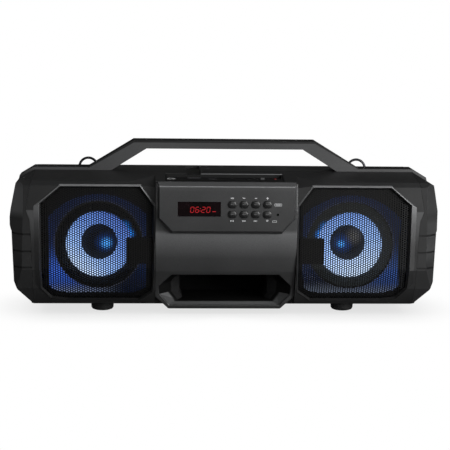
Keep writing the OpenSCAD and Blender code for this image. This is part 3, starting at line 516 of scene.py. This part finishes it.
M = {
    "housing": plastic("housing", 0.0155, 0.40, shade=housing_shade),
    "end_cap": rubber("end_cap", 0.0135, 0.55, cap_shade),
    # the rims' pale plastic is a painted highlight along the loudspeaker openings
    "rim": plastic("rim", 0.11, 0.36, shade=rim_shade),
    "fascia": plastic("fascia", 0.055, 0.36, 0.12, shade=fascia_shade),
    "panel": plastic("panel", 0.034, 0.40, 0.12, shade=panel_shade),
    "handle": plastic("handle", 0.044, 0.46, shade=handle_shade),
    "strip": rubber("strip", 0.006, 0.6),
    "port": plastic("port", 0.0022, 0.62, spec=0.12, shade=funnel),
    "tray": plastic("tray", 0.009, 0.55, spec=0.15),
    "window": window_mat("window"),
    "button": plastic("button", 0.010, 0.32, 0.1, bump=0.04, spec=0.4),
    "board": board_mat("board"),
    "steel": metal("steel", (0.55, 0.55, 0.57)),
    "shell": metal("shell", (0.10, 0.10, 0.105), 0.4),
    "loop": metal("loop", (0.05, 0.05, 0.055), 0.35, (1, 1, 4)),
    "dark_metal": metal("dark_metal", (0.12, 0.12, 0.125), 0.4),
    "grille": plastic("grille", 0.0035, 0.55, 0.2, 900.0, 0.05, 0.25, shade=grille_shade),
    "foot": rubber("foot", 0.009, 0.7),
    "baffle": plastic("baffle", 0.004, 0.5),
    "block": plastic("block", 0.002, 0.5, 0.2, bump=0.1, spec=0.3),
    "spider": rubber("spider", 0.2, 0.8),
    "copper": metal("copper", (0.7, 0.35, 0.16), 0.35),
    "sleeve": plastic("sleeve", 0.05, 0.3, 0.1, bump=0.03, tint=2.0),
    "red": glow("red", (0.16, 0.008, 0.008), 0.35),
    "digit": glow("digit", (0.42, 0.004, 0.008), 1.0),
    # pale plastic: the switch knob's own colour, and the painted highlight bars on the buttons
    "bar": plastic("bar", 0.06, 0.35, 0.1, 2000.0, 0.03),
    # pale plastic of the painted highlight along the socket recess
    "lip": plastic("lip", 0.13, 0.4, 0.1, 2000.0, 0.03),
    "legend": plastic("legend", 0.55, 0.5, 0.05, 3000.0, 0.0),
}
by_node = {
    "housing": ["front_cover", "rear_cover"],
    "end_cap": ["left_end_cap", "right_end_cap"],
    "fascia": ["centre_fascia"],
    "panel": ["control_panel"],
    "handle": ["handle"],
    "port": ["port_duct"],
    "tray": ["top_panel", "aux_jack", "display_module"],
    "window": ["display_window"],
    "button": [f"button_{r}_{i}" for r in ("top", "bottom") for i in (1, 2, 3, 4)],
    "bar": ["power_switch_knob"],
    "board": ["key_board", "connector_board", "amplifier_board"],
    "steel": ["tact_switches", "power_switch_body"],
    "shell": ["usb_port", "charge_port"],
    "loop": ["left_strap_loop", "right_strap_loop"],
    "dark_metal": ["handle_screws", "driver_screws", "housing_screws", "end_cap_screws", "left_basket",
                   "right_basket", "left_magnet", "right_magnet"],
    "grille": ["left_grille", "right_grille"],
    "foot": ["feet"],
    "baffle": ["left_baffle", "right_baffle"],
    "block": ["left_led_housing", "right_led_housing"],
    "copper": ["left_voice_coil", "right_voice_coil"],
    "sleeve": ["battery_pack"],
    "red": ["charge_led"],
}


def paint(node, mat):
    nodes[node].data.materials.clear()
    nodes[node].data.materials.append(mat)


for key, names in by_node.items():
    for n in names:
        paint(n, M[key])
for side in OUT:
    paint(f"{side}_cone", cone_mat(side))
    paint(f"{side}_diffuser", bowl_mat(side))
    paint(f"{side}_dust_cap", dome_mat(side))


# softer edges on the moulded pieces, in metres
EDGES = {
    "front_cover": 0.0007, "left_end_cap": 0.0012, "right_end_cap": 0.0012, "centre_fascia": 0.0006,
    "control_panel": 0.0005, "handle": 0.0012, "rear_cover": 0.0008, "port_duct": 0.0004,
    "left_led_housing": 0.0005, "right_led_housing": 0.0005, "display_window": 0.0002,
}


def soften(obj, width, angle=28):
    """Round off edges sharper than an angle in degrees."""
    weld = obj.modifiers.new("weld", "WELD")
    weld.merge_threshold = 0.00002
    bevel = obj.modifiers.new("bevel", "BEVEL")
    bevel.width = width
    bevel.segments = 2
    bevel.limit_method = "ANGLE"
    bevel.angle_limit = math.radians(angle)
    bevel.use_clamp_overlap = True
    bevel.harden_normals = False
    bevel.miter_outer = "MITER_ARC"
    level = obj.modifiers.new("level", "WEIGHTED_NORMAL")
    level.mode = "FACE_AREA"
    level.weight = 100
    level.keep_sharp = True


for n, w in EDGES.items():
    soften(nodes[n], w)


# meshes made here
def mesh_object(name, verts, faces, mat, smooth=0):
    """Mesh from points and faces, turned outward; the first smooth faces are shaded round."""
    data = bpy.data.meshes.new(name)
    data.from_pydata([tuple(v) for v in verts], [], faces)
    work = bmesh.new()
    work.from_mesh(data)
    bmesh.ops.recalc_face_normals(work, faces=work.faces)
    work.to_mesh(data)
    work.free()
    obj = bpy.data.objects.new(name, data)
    scene.collection.objects.link(obj)
    data.materials.append(mat)
    for p in data.polygons:
        p.use_smooth = p.index < smooth
    return obj


def trim(name, verts, faces, mat, body):
    """Piece added for the looks, which rides on a body."""
    obj = mesh_object(name, verts, faces, mat)
    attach(obj, body)
    return obj


def band(start, n, k):
    """Face between point k and the next of a ring of n points and of the ring after it."""
    q = (k + 1) % n
    return [start + k, start + q, start + n + q, start + n + k]


# perforated sheets: staggered columns of round holes over each loudspeaker bay
HOLE_PITCH, HOLE_STEP, HOLE_R = 0.00238, 0.002415, 0.00088
SHEET_T, SHEET_EDGE = 0.0012, 0.0001
HOLE_SIDES = 12
WELD = 5e-6


def outline(node):
    """Convex outline of a node seen from the front."""
    pts = sorted({(round(v.co.x, 6), round(v.co.z, 6)) for v in nodes[node].data.vertices})

    def half(seq):
        hull = []
        for p in seq:
            while len(hull) > 1 and ((hull[-1][0] - hull[-2][0]) * (p[1] - hull[-2][1])
                                     - (hull[-1][1] - hull[-2][1]) * (p[0] - hull[-2][0])) <= 0:
                hull.pop()
            hull.append(p)
        return hull[:-1]

    return half(pts) + half(pts[::-1])


def depth_inside(poly, x, z):
    """Distance inside a convex anticlockwise outline; negative outside."""
    best = math.inf
    for (ax, az), (bx, bz) in zip(poly, poly[1:] + poly[:1]):
        length = math.hypot(bx - ax, bz - az)
        if length > 1e-9:
            best = min(best, ((bx - ax) * (z - az) - (bz - az) * (x - ax)) / length)
    return best


def front_line(node):
    """Height and depth along the front face of a plain sheet."""
    rows = {}
    for v in nodes[node].data.vertices:
        z = round(v.co.z, 4)
        rows[z] = min(rows.get(z, math.inf), v.co.y)
    hull = []
    for p in sorted(rows.items()):
        while len(hull) > 1 and ((hull[-1][1] - hull[-2][1]) * (p[0] - hull[-2][0])
                                 - (p[1] - hull[-2][1]) * (hull[-1][0] - hull[-2][0])) >= 0:
            hull.pop()
        hull.append(p)
    return hull


def line_at(line, z):
    """Depth of a front line at one height."""
    for (z0, y0), (z1, y1) in zip(line, line[1:]):
        if z0 <= z <= z1:
            return y0 + (y1 - y0) * (z - z0) / (z1 - z0)
    return line[0][1] if z < line[0][0] else line[-1][1]


SHEET_LINE = front_line("right_grille")


def perforated(side):
    """Sheet of six-sided cells, each with a round hole, that replaces a plain grille."""
    node = f"{side}_grille"
    poly = outline(node)
    lo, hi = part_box(node)
    tall, wide = HOLE_PITCH / math.sqrt(3), HOLE_STEP / 1.5
    verts, faces, seen, edges = [], [], {}, {}

    def point(x, z, back):
        verts.append((x, line_at(SHEET_LINE, z) + (SHEET_T if back else 0.0), z))
        return len(verts) - 1

    def corner(x, z, back):
        key = (round(x / WELD), round(z / WELD), back)
        if key not in seen:
            seen[key] = point(x, z, back)
        return seen[key]

    def cell(x, z):
        rings, hexes = [], []
        for back in (False, True):
            turns = [math.radians(60 * k) for k in range(6)]
            outer = [corner(x + wide * math.cos(a), z + tall * math.sin(a), back) for a in turns]
            turns = [2 * math.pi * k / HOLE_SIDES for k in range(HOLE_SIDES)]
            ring = [point(x + HOLE_R * math.cos(a), z + HOLE_R * math.sin(a), back) for a in turns]
            for k in range(6):
                inner = [ring[(2 * k + 2) % HOLE_SIDES], ring[2 * k + 1], ring[2 * k]]
                faces.append([outer[k], outer[(k + 1) % 6]] + inner)
            rings.append(ring)
            hexes.append(outer)
        for k in range(HOLE_SIDES):
            q = (k + 1) % HOLE_SIDES
            faces.append([rings[0][k], rings[0][q], rings[1][q], rings[1][k]])
        for k in range(6):
            q = (k + 1) % 6
            wall = [hexes[0][k], hexes[0][q], hexes[1][q], hexes[1][k]]
            edges.setdefault(tuple(sorted(wall[:2])), []).append(wall)

    for i in range(int((hi[0] - lo[0]) / HOLE_STEP) + 2):
        for j in range(int((hi[2] - lo[2]) / HOLE_PITCH) + 2):
            x = lo[0] + i * HOLE_STEP
            z = lo[2] + j * HOLE_PITCH + (HOLE_PITCH / 2 if i % 2 else 0.0)
            if depth_inside(poly, x, z) >= wide + SHEET_EDGE:
                cell(x, z)
    faces += [walls[0] for walls in edges.values() if len(walls) == 1]
    obj = trim(f"{side}_mesh_grille", verts, faces, M["grille"], "housing")
    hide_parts(node)


for side in OUT:
    perforated(side)


# raised rim round each loudspeaker opening, its pale plastic a painted highlight line: right hand outline in
# millimetres, anticlockwise from the front
RIM = [(87.8, 16.2), (160.7, 16.2), (177.7, 18.5), (187.5, 30.0), (188.2, 50.0), (188.7, 117.7),
       (167.7, 135.7), (87.3, 135.7), (72.8, 115.7), (72.8, 50.0), (74.3, 26.0)]
# reach of the rim's outer slope along each side
REACH = [0.5, 0.5, 0.8, 6.0, 6.0, 2.0, 2.0, 2.0, 0.6, 0.6, 0.5]
# front of the housing: height and depth in millimetres
FACE = [(8.0, -36.0), (30.0, -50.0), (50.0, -56.0), (136.0, -58.0), (140.5, -54.0)]
RIM_RISE, RIM_LAND, RIM_WALL = 1.0, 0.4, 0.35
RIM_SUNK_IN, RIM_SUNK_OUT = 1.2, 0.15
RIM_EDGE, RIM_ANGLE = 0.00025, 20


def widen(points, reach):
    """Outline with each side moved outward by its own distance."""
    moved = []
    for i, (x, z) in enumerate(points):
        ax, az = points[i - 1]
        bx, bz = points[(i + 1) % len(points)]
        u, v = Vector((x - ax, z - az)).normalized(), Vector((bx - x, bz - z)).normalized()
        k = v.y * u.x - v.x * u.y
        r, s = reach[i - 1], reach[i]
        moved.append((x + (s * u.x - r * v.x) / k, z + (s * u.y - r * v.y) / k))
    return moved


def rim_bead(side):
    """Closed bead: inner wall, land, outer slope and back."""
    n = len(RIM)
    rows = [(widen(RIM, [-RIM_WALL] * n), RIM_SUNK_IN), (widen(RIM, [0.0] * n), -RIM_RISE),
            (widen(RIM, [RIM_LAND] * n), -RIM_RISE), (widen(RIM, REACH), RIM_SUNK_OUT)]
    verts = [(OUT[side] * x / 1000, (line_at(FACE, z) + dy) / 1000, z / 1000)
             for row, dy in rows for x, z in row]
    faces = []
    for r in range(4):
        for i in range(n):
            a, b, j = r * n, (r + 1) % 4 * n, (i + 1) % n
            faces.append([a + i, a + j, b + j, b + i])
    obj = trim(f"{side}_rim", verts, faces, M["rim"], "housing")
    soften(obj, RIM_EDGE, RIM_ANGLE)


for side in OUT:
    rim_bead(side)


# a soft dark strip along the upper front and rear edge of the handle
STRIP_TOP, STRIP_FOOT, STRIP_IN, STRIP_OUT = 0.0022, 0.0009, 0.0012, 0.0002
STRIP_END = 0.0028
STRIP_LEAN = 0.3
LEG_LIMIT = 0.16
NEAR = 1e-4


def edge_strip(name, face):
    """Strip on one face of the handle; the face is -1 for the front and 1 for the rear."""
    mesh = nodes["handle"].data
    lo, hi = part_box("handle")
    grip = max(v.co.x for v in mesh.vertices if v.co.z > hi[2] - NEAR)
    foot_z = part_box("front_cover")[1][2] + STRIP_END
    foot = max(v.co.x for v in mesh.vertices if abs(v.co.z - foot_z) < 2 * NEAR and v.co.x < LEG_LIMIT)
    run = Vector((foot - grip, foot_z - hi[2])).normalized()
    drop = Vector((run.y, -run.x)) * STRIP_FOOT
    top = [(-foot, foot_z), (-grip, hi[2]), (grip, hi[2]), (foot, foot_z)]
    inner, low_z = grip - STRIP_TOP * STRIP_LEAN, hi[2] - STRIP_TOP
    low = [(-foot - drop.x, foot_z + drop.y), (-inner, low_z), (inner, low_z),
           (foot + drop.x, foot_z + drop.y)]
    y = hi[1] if face > 0 else lo[1]
    verts = []
    for (tx, tz), (bx, bz) in zip(top, low):
        verts += [(tx, y + face * STRIP_OUT, tz), (bx, y + face * STRIP_OUT, bz),
                  (bx, y - face * STRIP_IN, bz), (tx, y - face * STRIP_IN, tz)]
    faces = [band(4 * i, 4, j) for i in range(3) for j in range(4)]
    faces += [[0, 1, 2, 3], [12, 13, 14, 15]]
    trim(name, verts, faces, M["strip"], "housing")


edge_strip("handle_front_strip", -1)
edge_strip("handle_rear_strip", 1)


# a raised lip in pale plastic behind the socket recess, from the plug's trough to the end of the recess: a
# painted highlight along the recess's rear edge
LIP_GAP, LIP_IN, LIP_SUNK, LIP_SIZE = 0.0006, 0.0003, 0.0006, 0.0007
tray_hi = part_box("top_panel")[1]
lip_x = (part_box("usb_port")[1][0] + LIP_GAP, tray_hi[0])
lip_y = (tray_hi[1] - LIP_IN, tray_hi[1] + LIP_SIZE)
lip_z = (tray_hi[2] - LIP_SUNK, tray_hi[2] + LIP_SIZE)
verts = [(x, y, z) for x in lip_x for y in lip_y for z in lip_z]
faces = [[0, 1, 3, 2], [4, 6, 7, 5], [0, 4, 5, 1], [2, 3, 7, 6], [0, 2, 6, 4], [1, 5, 7, 3]]
trim("recess_edge_highlight", verts, faces, M["lip"], "housing")


# rolls and spiders made of sectors that reach from the housing to the moving cone, in millimetres
SECTOR_STEPS = 6
ROLL_MID, ROLL_Y, ROLL_R, ROLL_T = 37.71, -33.0, 4.02, 0.6
ROLL_OUT, ROLL_STEP = 43.87, 41.65
WEB_FRONT, WEB_BACK = -11.5, -11.0
# where the stretch starts and ends, and the number of sectors
ROLL_CUT, WEB_CUT = (42.5, 33.8, 16), (28.5, 15.0, 12)


def sectors(side, name, profile, outer, inner, count, mat):
    """Turned ring cut in equal sectors."""
    cx, _, cz = drv[side]
    half = math.pi / count
    n = len(profile)
    for k in range(count):
        mid = 2 * math.pi * k / count
        verts = []
        for i in range(SECTOR_STEPS + 1):
            a = mid - half + 2 * half * i / SECTOR_STEPS
            verts += [(cx + r / 1000 * math.cos(a), y / 1000, cz + r / 1000 * math.sin(a))
                      for r, y in profile]
        faces = [band(i * n, n, j) for i in range(SECTOR_STEPS) for j in range(n)]
        sides = len(faces)
        faces += [list(range(n)), [SECTOR_STEPS * n + j for j in range(n)]]
        obj = mesh_object(f"{side}_{name}_{k + 1:02d}", verts, faces, mat, sides)
        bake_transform(obj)
        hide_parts(f"{side}_{name}")


def arc(r, first, last, step):
    """Part of the roll's round section, angles in degrees."""
    turns = [math.radians(a) for a in range(first, last + (1 if step > 0 else -1), step)]
    return [(ROLL_MID + r * math.cos(a), ROLL_Y - r * math.sin(a)) for a in turns]


ROLL = [(ROLL_OUT, ROLL_Y), (ROLL_OUT, ROLL_Y - ROLL_T), (ROLL_STEP, ROLL_Y - ROLL_T)]
ROLL += arc(ROLL_R, 20, 180, 16) + arc(ROLL_R - ROLL_T, 180, 0, -20)
FOLDS = [14.25, 16.0, 18.0, 20.0, 22.0, 24.0, 26.0, 28.0, 30.5]
WEB = [(r, WEB_FRONT) for r in FOLDS] + [(r, WEB_BACK) for r in FOLDS[::-1]]
for side in OUT:
    sectors(side, "surround", ROLL, *ROLL_CUT, roll_mat(side))
    sectors(side, "spider", WEB, *WEB_CUT, M["spider"])


# thin prints on front faces
PRINT_OUT, PRINT_T = 0.00004, 0.0001


def rect(cx, cz, w, h):
    x0, x1, z0, z1 = cx - w / 2, cx + w / 2, cz - h / 2, cz + h / 2
    return [(x0, z0), (x1, z0), (x1, z1), (x0, z1)]


def arrow(cx, cz, s, d):
    """Triangle of size s that points right for d = 1 and left for d = -1."""
    return [(cx - d * s * 0.5, cz - s * 0.55), (cx + d * s * 0.5, cz), (cx - d * s * 0.5, cz + s * 0.55)][::d]


def frame_box(cx, cz, w, h, line=0.00032):
    """Plain outlined box."""
    return [rect(cx, cz + h / 2, w, line), rect(cx, cz - h / 2, w, line),
            rect(cx - w / 2, cz, line, h), rect(cx + w / 2, cz, line, h)]


def prism(start, n):
    """Faces of a prism whose front and back ring of n points follow each other."""
    ends = [list(range(start, start + n)), list(range(start + n, start + 2 * n))]
    return ends + [band(start, n, k) for k in range(n)]


def flat_marks(name, shapes, y, mat):
    """Raised prints on a front face of the housing."""
    verts, faces = [], []
    for shape in shapes:
        faces += prism(len(verts), len(shape))
        verts += [(px, py, pz) for py in (y, y + PRINT_T) for px, pz in shape]
    trim(name, verts, faces, mat, "housing")


# red clock digits on the display window
DIGIT_H, DIGIT_W, DIGIT_BAR, DIGIT_LEAN = 0.0054, 0.0032, 0.00055, 0.13
DIGIT_GAP = DIGIT_BAR * 0.62
DIGIT_DROP = 0.0006
DIGITS = (("0", -0.0090), ("6", -0.0040), ("2", 0.0022), ("0", 0.0072))
COLON_X, COLON_Z, COLON_SIZE = 0.0006, (-0.0012, 0.0012), 0.00076
DASH_X, DASH_Z, DASH_W, DASH_H = 0.0148, -0.0024, 0.0034, 0.0006
SEGMENTS = {"0": "abcdef", "2": "abged", "6": "acdefg"}


def digit_quads(char, x0, z0):
    """Leaning seven-part digit with its lower left corner at one place."""
    half = DIGIT_H / 2
    places = {
        "a": (0, DIGIT_H, 1), "g": (0, half, 1), "d": (0, 0, 1),
        "f": (0, half, 0), "b": (DIGIT_W, half, 0), "e": (0, 0, 0), "c": (DIGIT_W, 0, 0),
    }
    shapes = []
    for segment in SEGMENTS[char]:
        sx, sz, flat = places[segment]
        if flat:
            quad = rect(sx + DIGIT_W / 2, sz, DIGIT_W - 2 * DIGIT_GAP, DIGIT_BAR)
        else:
            quad = rect(sx, sz + half / 2, DIGIT_BAR, half - 2 * DIGIT_GAP)
        shapes.append([(x0 + px + DIGIT_LEAN * pz, z0 + pz) for px, pz in quad])
    return shapes


wx, _, wz = middle("display_window")
clock_z = wz - DIGIT_DROP
clock = []
for char, px in DIGITS:
    clock += digit_quads(char, wx + px, clock_z - DIGIT_H / 2)
for pz in COLON_Z:
    clock.append(rect(wx + COLON_X + DIGIT_LEAN * (pz + DIGIT_H / 2), clock_z + pz, COLON_SIZE, COLON_SIZE))
clock.append(rect(wx + DASH_X, wz + DASH_Z, DASH_W, DASH_H))
flat_marks("clock_digits", clock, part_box("display_window")[0][1] - PRINT_OUT, M["digit"])


# plain printed marks next to the buttons, in millimetres: place across and up, width and height
MARK_Z = {"top": 6.6, "bottom": -6.4}
BARS = {
    "top_1": [(-1.1, 0, 0.7, 1.2), (0, 0, 0.7, 1.2), (1.1, 0, 0.7, 1.2)],
    "top_2": [(0, 0, 2.6, 0.6), (-1.2, 0.6, 0.6, 0.6)],
    "top_3": [(0, 0, 2.4, 0.6)],
    "top_4": [(0, 0, 2.4, 0.6), (0, 0.75, 0.6, 0.9), (0, -0.75, 0.6, 0.9)],
    "bottom_1": [(0.6, 0, 0.4, 1.5), (1.4, 0, 0.4, 1.5)],
    "bottom_2": [(-1.3, 0, 0.4, 1.5)],
    "bottom_3": [(1.3, 0, 0.4, 1.5)],
    "bottom_4": [(0, 0, 2.2, 0.5), (0, 0.9, 2.2, 0.5)],
}
# place across, size and direction
ARROWS = {
    "bottom_1": [(-0.8, 1.5, 1)],
    "bottom_2": [(-0.3, 1.3, -1), (1.0, 1.3, -1)],
    "bottom_3": [(-1.0, 1.3, 1), (0.3, 1.3, 1)],
}
# outlined boxes right of the buttons, in metres: place across, place up from a button, width and height
TOP_BOX, TOP_BOX_LINE = (0.0513, 0.0, 0.0070, 0.0023), (0.0048, 0.0006)
LOW_BOX = (0.0478, -0.0068, 0.0042, 0.0016)

marks = []
for key, bars in BARS.items():
    bx, _, bz = middle(f"button_{key}")
    bz += MARK_Z[key.split("_")[0]] / 1000
    marks += [rect(bx + px / 1000, bz + pz / 1000, w / 1000, h / 1000) for px, pz, w, h in bars]
    marks += [arrow(bx + px / 1000, bz, s / 1000, d) for px, s, d in ARROWS.get(key, [])]
top_z, low_z = middle("button_top_4")[2], middle("button_bottom_4")[2]
marks += frame_box(TOP_BOX[0], top_z + TOP_BOX[1], *TOP_BOX[2:]) + [rect(TOP_BOX[0], top_z, *TOP_BOX_LINE)]
marks += frame_box(LOW_BOX[0], low_z + LOW_BOX[1], *LOW_BOX[2:])
flat_marks("button_marks", marks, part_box("control_panel")[0][1] - PRINT_OUT, M["legend"])


# a pale raised bar on each button, bent to the button's domed front: a painted highlight where the buttons
# catch the light
DOME_R = 0.012
PILL_HALF, PILL_R, PILL_UP, PILL_SIDES = 0.0013, 0.00055, 0.0005, 20
PILL_FRONT, PILL_BACK = -0.00012, 0.0003
pill = []
for k in range(PILL_SIDES):
    a = 2 * math.pi * k / PILL_SIDES
    across = math.copysign(PILL_HALF, math.cos(a)) + PILL_R * math.cos(a)
    pill.append((across, PILL_UP + PILL_R * math.sin(a)))
for n in by_node["button"]:
    bx, _, bz = middle(n)
    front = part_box(n)[0][1]
    verts = [(bx + px, front + (px * px + pz * pz) / (2 * DOME_R) + dy, bz + pz)
             for dy in (PILL_FRONT, PILL_BACK) for px, pz in pill]
    trim(f"{n}_bar", verts, prism(0, PILL_SIDES), M["bar"], n)


# a plain white ring on the floor of the top recess
RING_X, RING_BACK, RING_IN, RING_OUT, RING_SIDES = -0.0562, 0.002, 0.0022, 0.0047, 32
RING_DROP = 0.00015
ring_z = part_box("charge_port")[1][2] - RING_DROP
ring_y = middle("charge_port")[1] + RING_BACK
section = [(RING_IN, ring_z), (RING_OUT, ring_z), (RING_OUT, ring_z - PRINT_T), (RING_IN, ring_z - PRINT_T)]
turns = [2 * math.pi * k / RING_SIDES for k in range(RING_SIDES)]
verts = [(RING_X + r * math.cos(a), ring_y + r * math.sin(a), z) for r, z in section for a in turns]
faces = []
for b in range(4):
    for k in range(RING_SIDES):
        here, there, q = b * RING_SIDES, (b + 1) % 4 * RING_SIDES, (k + 1) % RING_SIDES
        faces.append([here + k, here + q, there + q, there + k])
trim("tray_ring", verts, faces, M["legend"], "housing")


# stage: a pale floor, bright to the camera with a soft contact shade and dim to mirror rays
FLOOR_HALF, FLOOR_DIM, CONTACT, CONTACT_SHADE = 6, 0.06, 0.06, 0.72
floor_mat = Tree("floor")
floor_mat.set(Base_Color=floor_mat.spread(floor_mat.noise(3.0), (0.28, 0.28, 0.28), (0.32, 0.32, 0.32)))
floor_mat.set(Roughness=0.7)
path = floor_mat.add("ShaderNodeLightPath")
near = floor_mat.add("ShaderNodeAmbientOcclusion", samples=8)
near.inputs["Distance"].default_value = CONTACT
bright = floor_mat.add("ShaderNodeEmission")
floor_mat.link(floor_mat.remap(near.outputs["AO"], 0.0, 0.9, CONTACT_SHADE, 1.0), bright.inputs["Color"])
dim = floor_mat.add("ShaderNodeEmission")
dim.inputs["Strength"].default_value = FLOOR_DIM
lower = floor_mat.add("ShaderNodeMixShader")
upper = floor_mat.add("ShaderNodeMixShader")
floor_mat.link(path.outputs["Is Glossy Ray"], lower.inputs[0])
floor_mat.link(floor_mat.bsdf.outputs[0], lower.inputs[1])
floor_mat.link(dim.outputs[0], lower.inputs[2])
floor_mat.link(path.outputs["Is Camera Ray"], upper.inputs[0])
floor_mat.link(lower.outputs[0], upper.inputs[1])
floor_mat.link(bright.outputs[0], upper.inputs[2])
floor_mat.link(upper.outputs[0], floor_mat.out.inputs["Surface"])
floor_corners = [(x * FLOOR_HALF, y * FLOOR_HALF, 0) for x, y in ((-1, -1), (1, -1), (1, 1), (-1, 1))]
floor = mesh_object("floor", floor_corners, [[0, 1, 2, 3]], floor_mat.mat)

# soft lamps: name, place, aim, size, power, and whether mirror rays see it
LAMPS = [
    ("key_right", (0.95, -0.9, 0.42), (0.1, 0, 0.08), (0.6, 0.7), 19, True),
    ("front_top", (0.5, -2.0, 0.70), (0, 0, 0.08), (1.6, 0.6), 8, True),
    ("left_fill", (-1.7, -0.8, 0.42), (0, 0, 0.08), (0.8, 0.7), 3.5, True),
    ("top", (0, 0.5, 1.8), (0, 0, 0.1), (1.4, 1.0), 1.2, True),
    ("back_strip", (0, 2.0, 0.075), (0, 0, 0.075), (1.8, 0.12), 45, False),
    ("back_soft", (0, 1.9, 0.9), (0, 0, 0.08), (1.6, 0.6), 22, False),
]
for name, place, aim, size, power, mirrored in LAMPS:
    light = bpy.data.lights.new(name, "AREA")
    light.shape = "RECTANGLE"
    light.size, light.size_y = size
    light.energy = power
    lamp = bpy.data.objects.new(name, light)
    lamp.location = place
    lamp.rotation_euler = (Vector(aim) - Vector(place)).to_track_quat("-Z", "Y").to_euler()
    lamp.visible_glossy = mirrored
    scene.collection.objects.link(lamp)

# world: white to the camera, dim to mirror rays, a faint cool fill to the rest
WORLD_FILL, WORLD_MIRROR, WORLD_CAMERA = 0.08, 0.03, 1.0
world = bpy.data.worlds.new("studio")
scene.world = world
world.use_nodes = True
sky = world.node_tree
sky.nodes.clear()


def backdrop(colour, strength):
    node = sky.nodes.new("ShaderNodeBackground")
    node.inputs[0].default_value = (*colour, 1)
    node.inputs[1].default_value = strength
    return node.outputs[0]


sky_out = sky.nodes.new("ShaderNodeOutputWorld")
rays = sky.nodes.new("ShaderNodeLightPath")
sky_low, sky_top = sky.nodes.new("ShaderNodeMixShader"), sky.nodes.new("ShaderNodeMixShader")
sky.links.new(rays.outputs["Is Glossy Ray"], sky_low.inputs[0])
sky.links.new(backdrop((0.95, 0.97, 1.0), WORLD_FILL), sky_low.inputs[1])
sky.links.new(backdrop((1, 1, 1), WORLD_MIRROR), sky_low.inputs[2])
sky.links.new(rays.outputs["Is Camera Ray"], sky_top.inputs[0])
sky.links.new(sky_low.outputs[0], sky_top.inputs[1])
sky.links.new(backdrop((1, 1, 1), WORLD_CAMERA), sky_top.inputs[2])
sky.links.new(sky_top.outputs[0], sky_out.inputs[0])

scene.view_settings.view_transform = "Standard"

# camera: turn, height and roll in degrees, distance and aim in metres
CAM_AZ, CAM_EL, CAM_ROLL = (math.radians(a) for a in (-3.3, 8.5, 0.75))
CAM_DIST, CAM_AIM = 1.5, Vector((0.0019, 0.0, 0.0882))
CAM_LENS, CAM_SENSOR = 114.0, 36.0
cam_data = bpy.data.cameras.new("camera")
cam_data.sensor_width = CAM_SENSOR
cam_data.lens = CAM_LENS
cam = bpy.data.objects.new("camera", cam_data)
scene.collection.objects.link(cam)
flat = math.cos(CAM_EL)
offset = Vector((math.sin(CAM_AZ) * flat, -math.cos(CAM_AZ) * flat, math.sin(CAM_EL))) * CAM_DIST
cam.location = CAM_AIM + offset
turn = (-offset).to_track_quat("-Z", "Y").to_matrix().to_4x4() @ Matrix.Rotation(CAM_ROLL, 4, "Z")
cam.rotation_euler = turn.to_euler()
scene.camera = cam
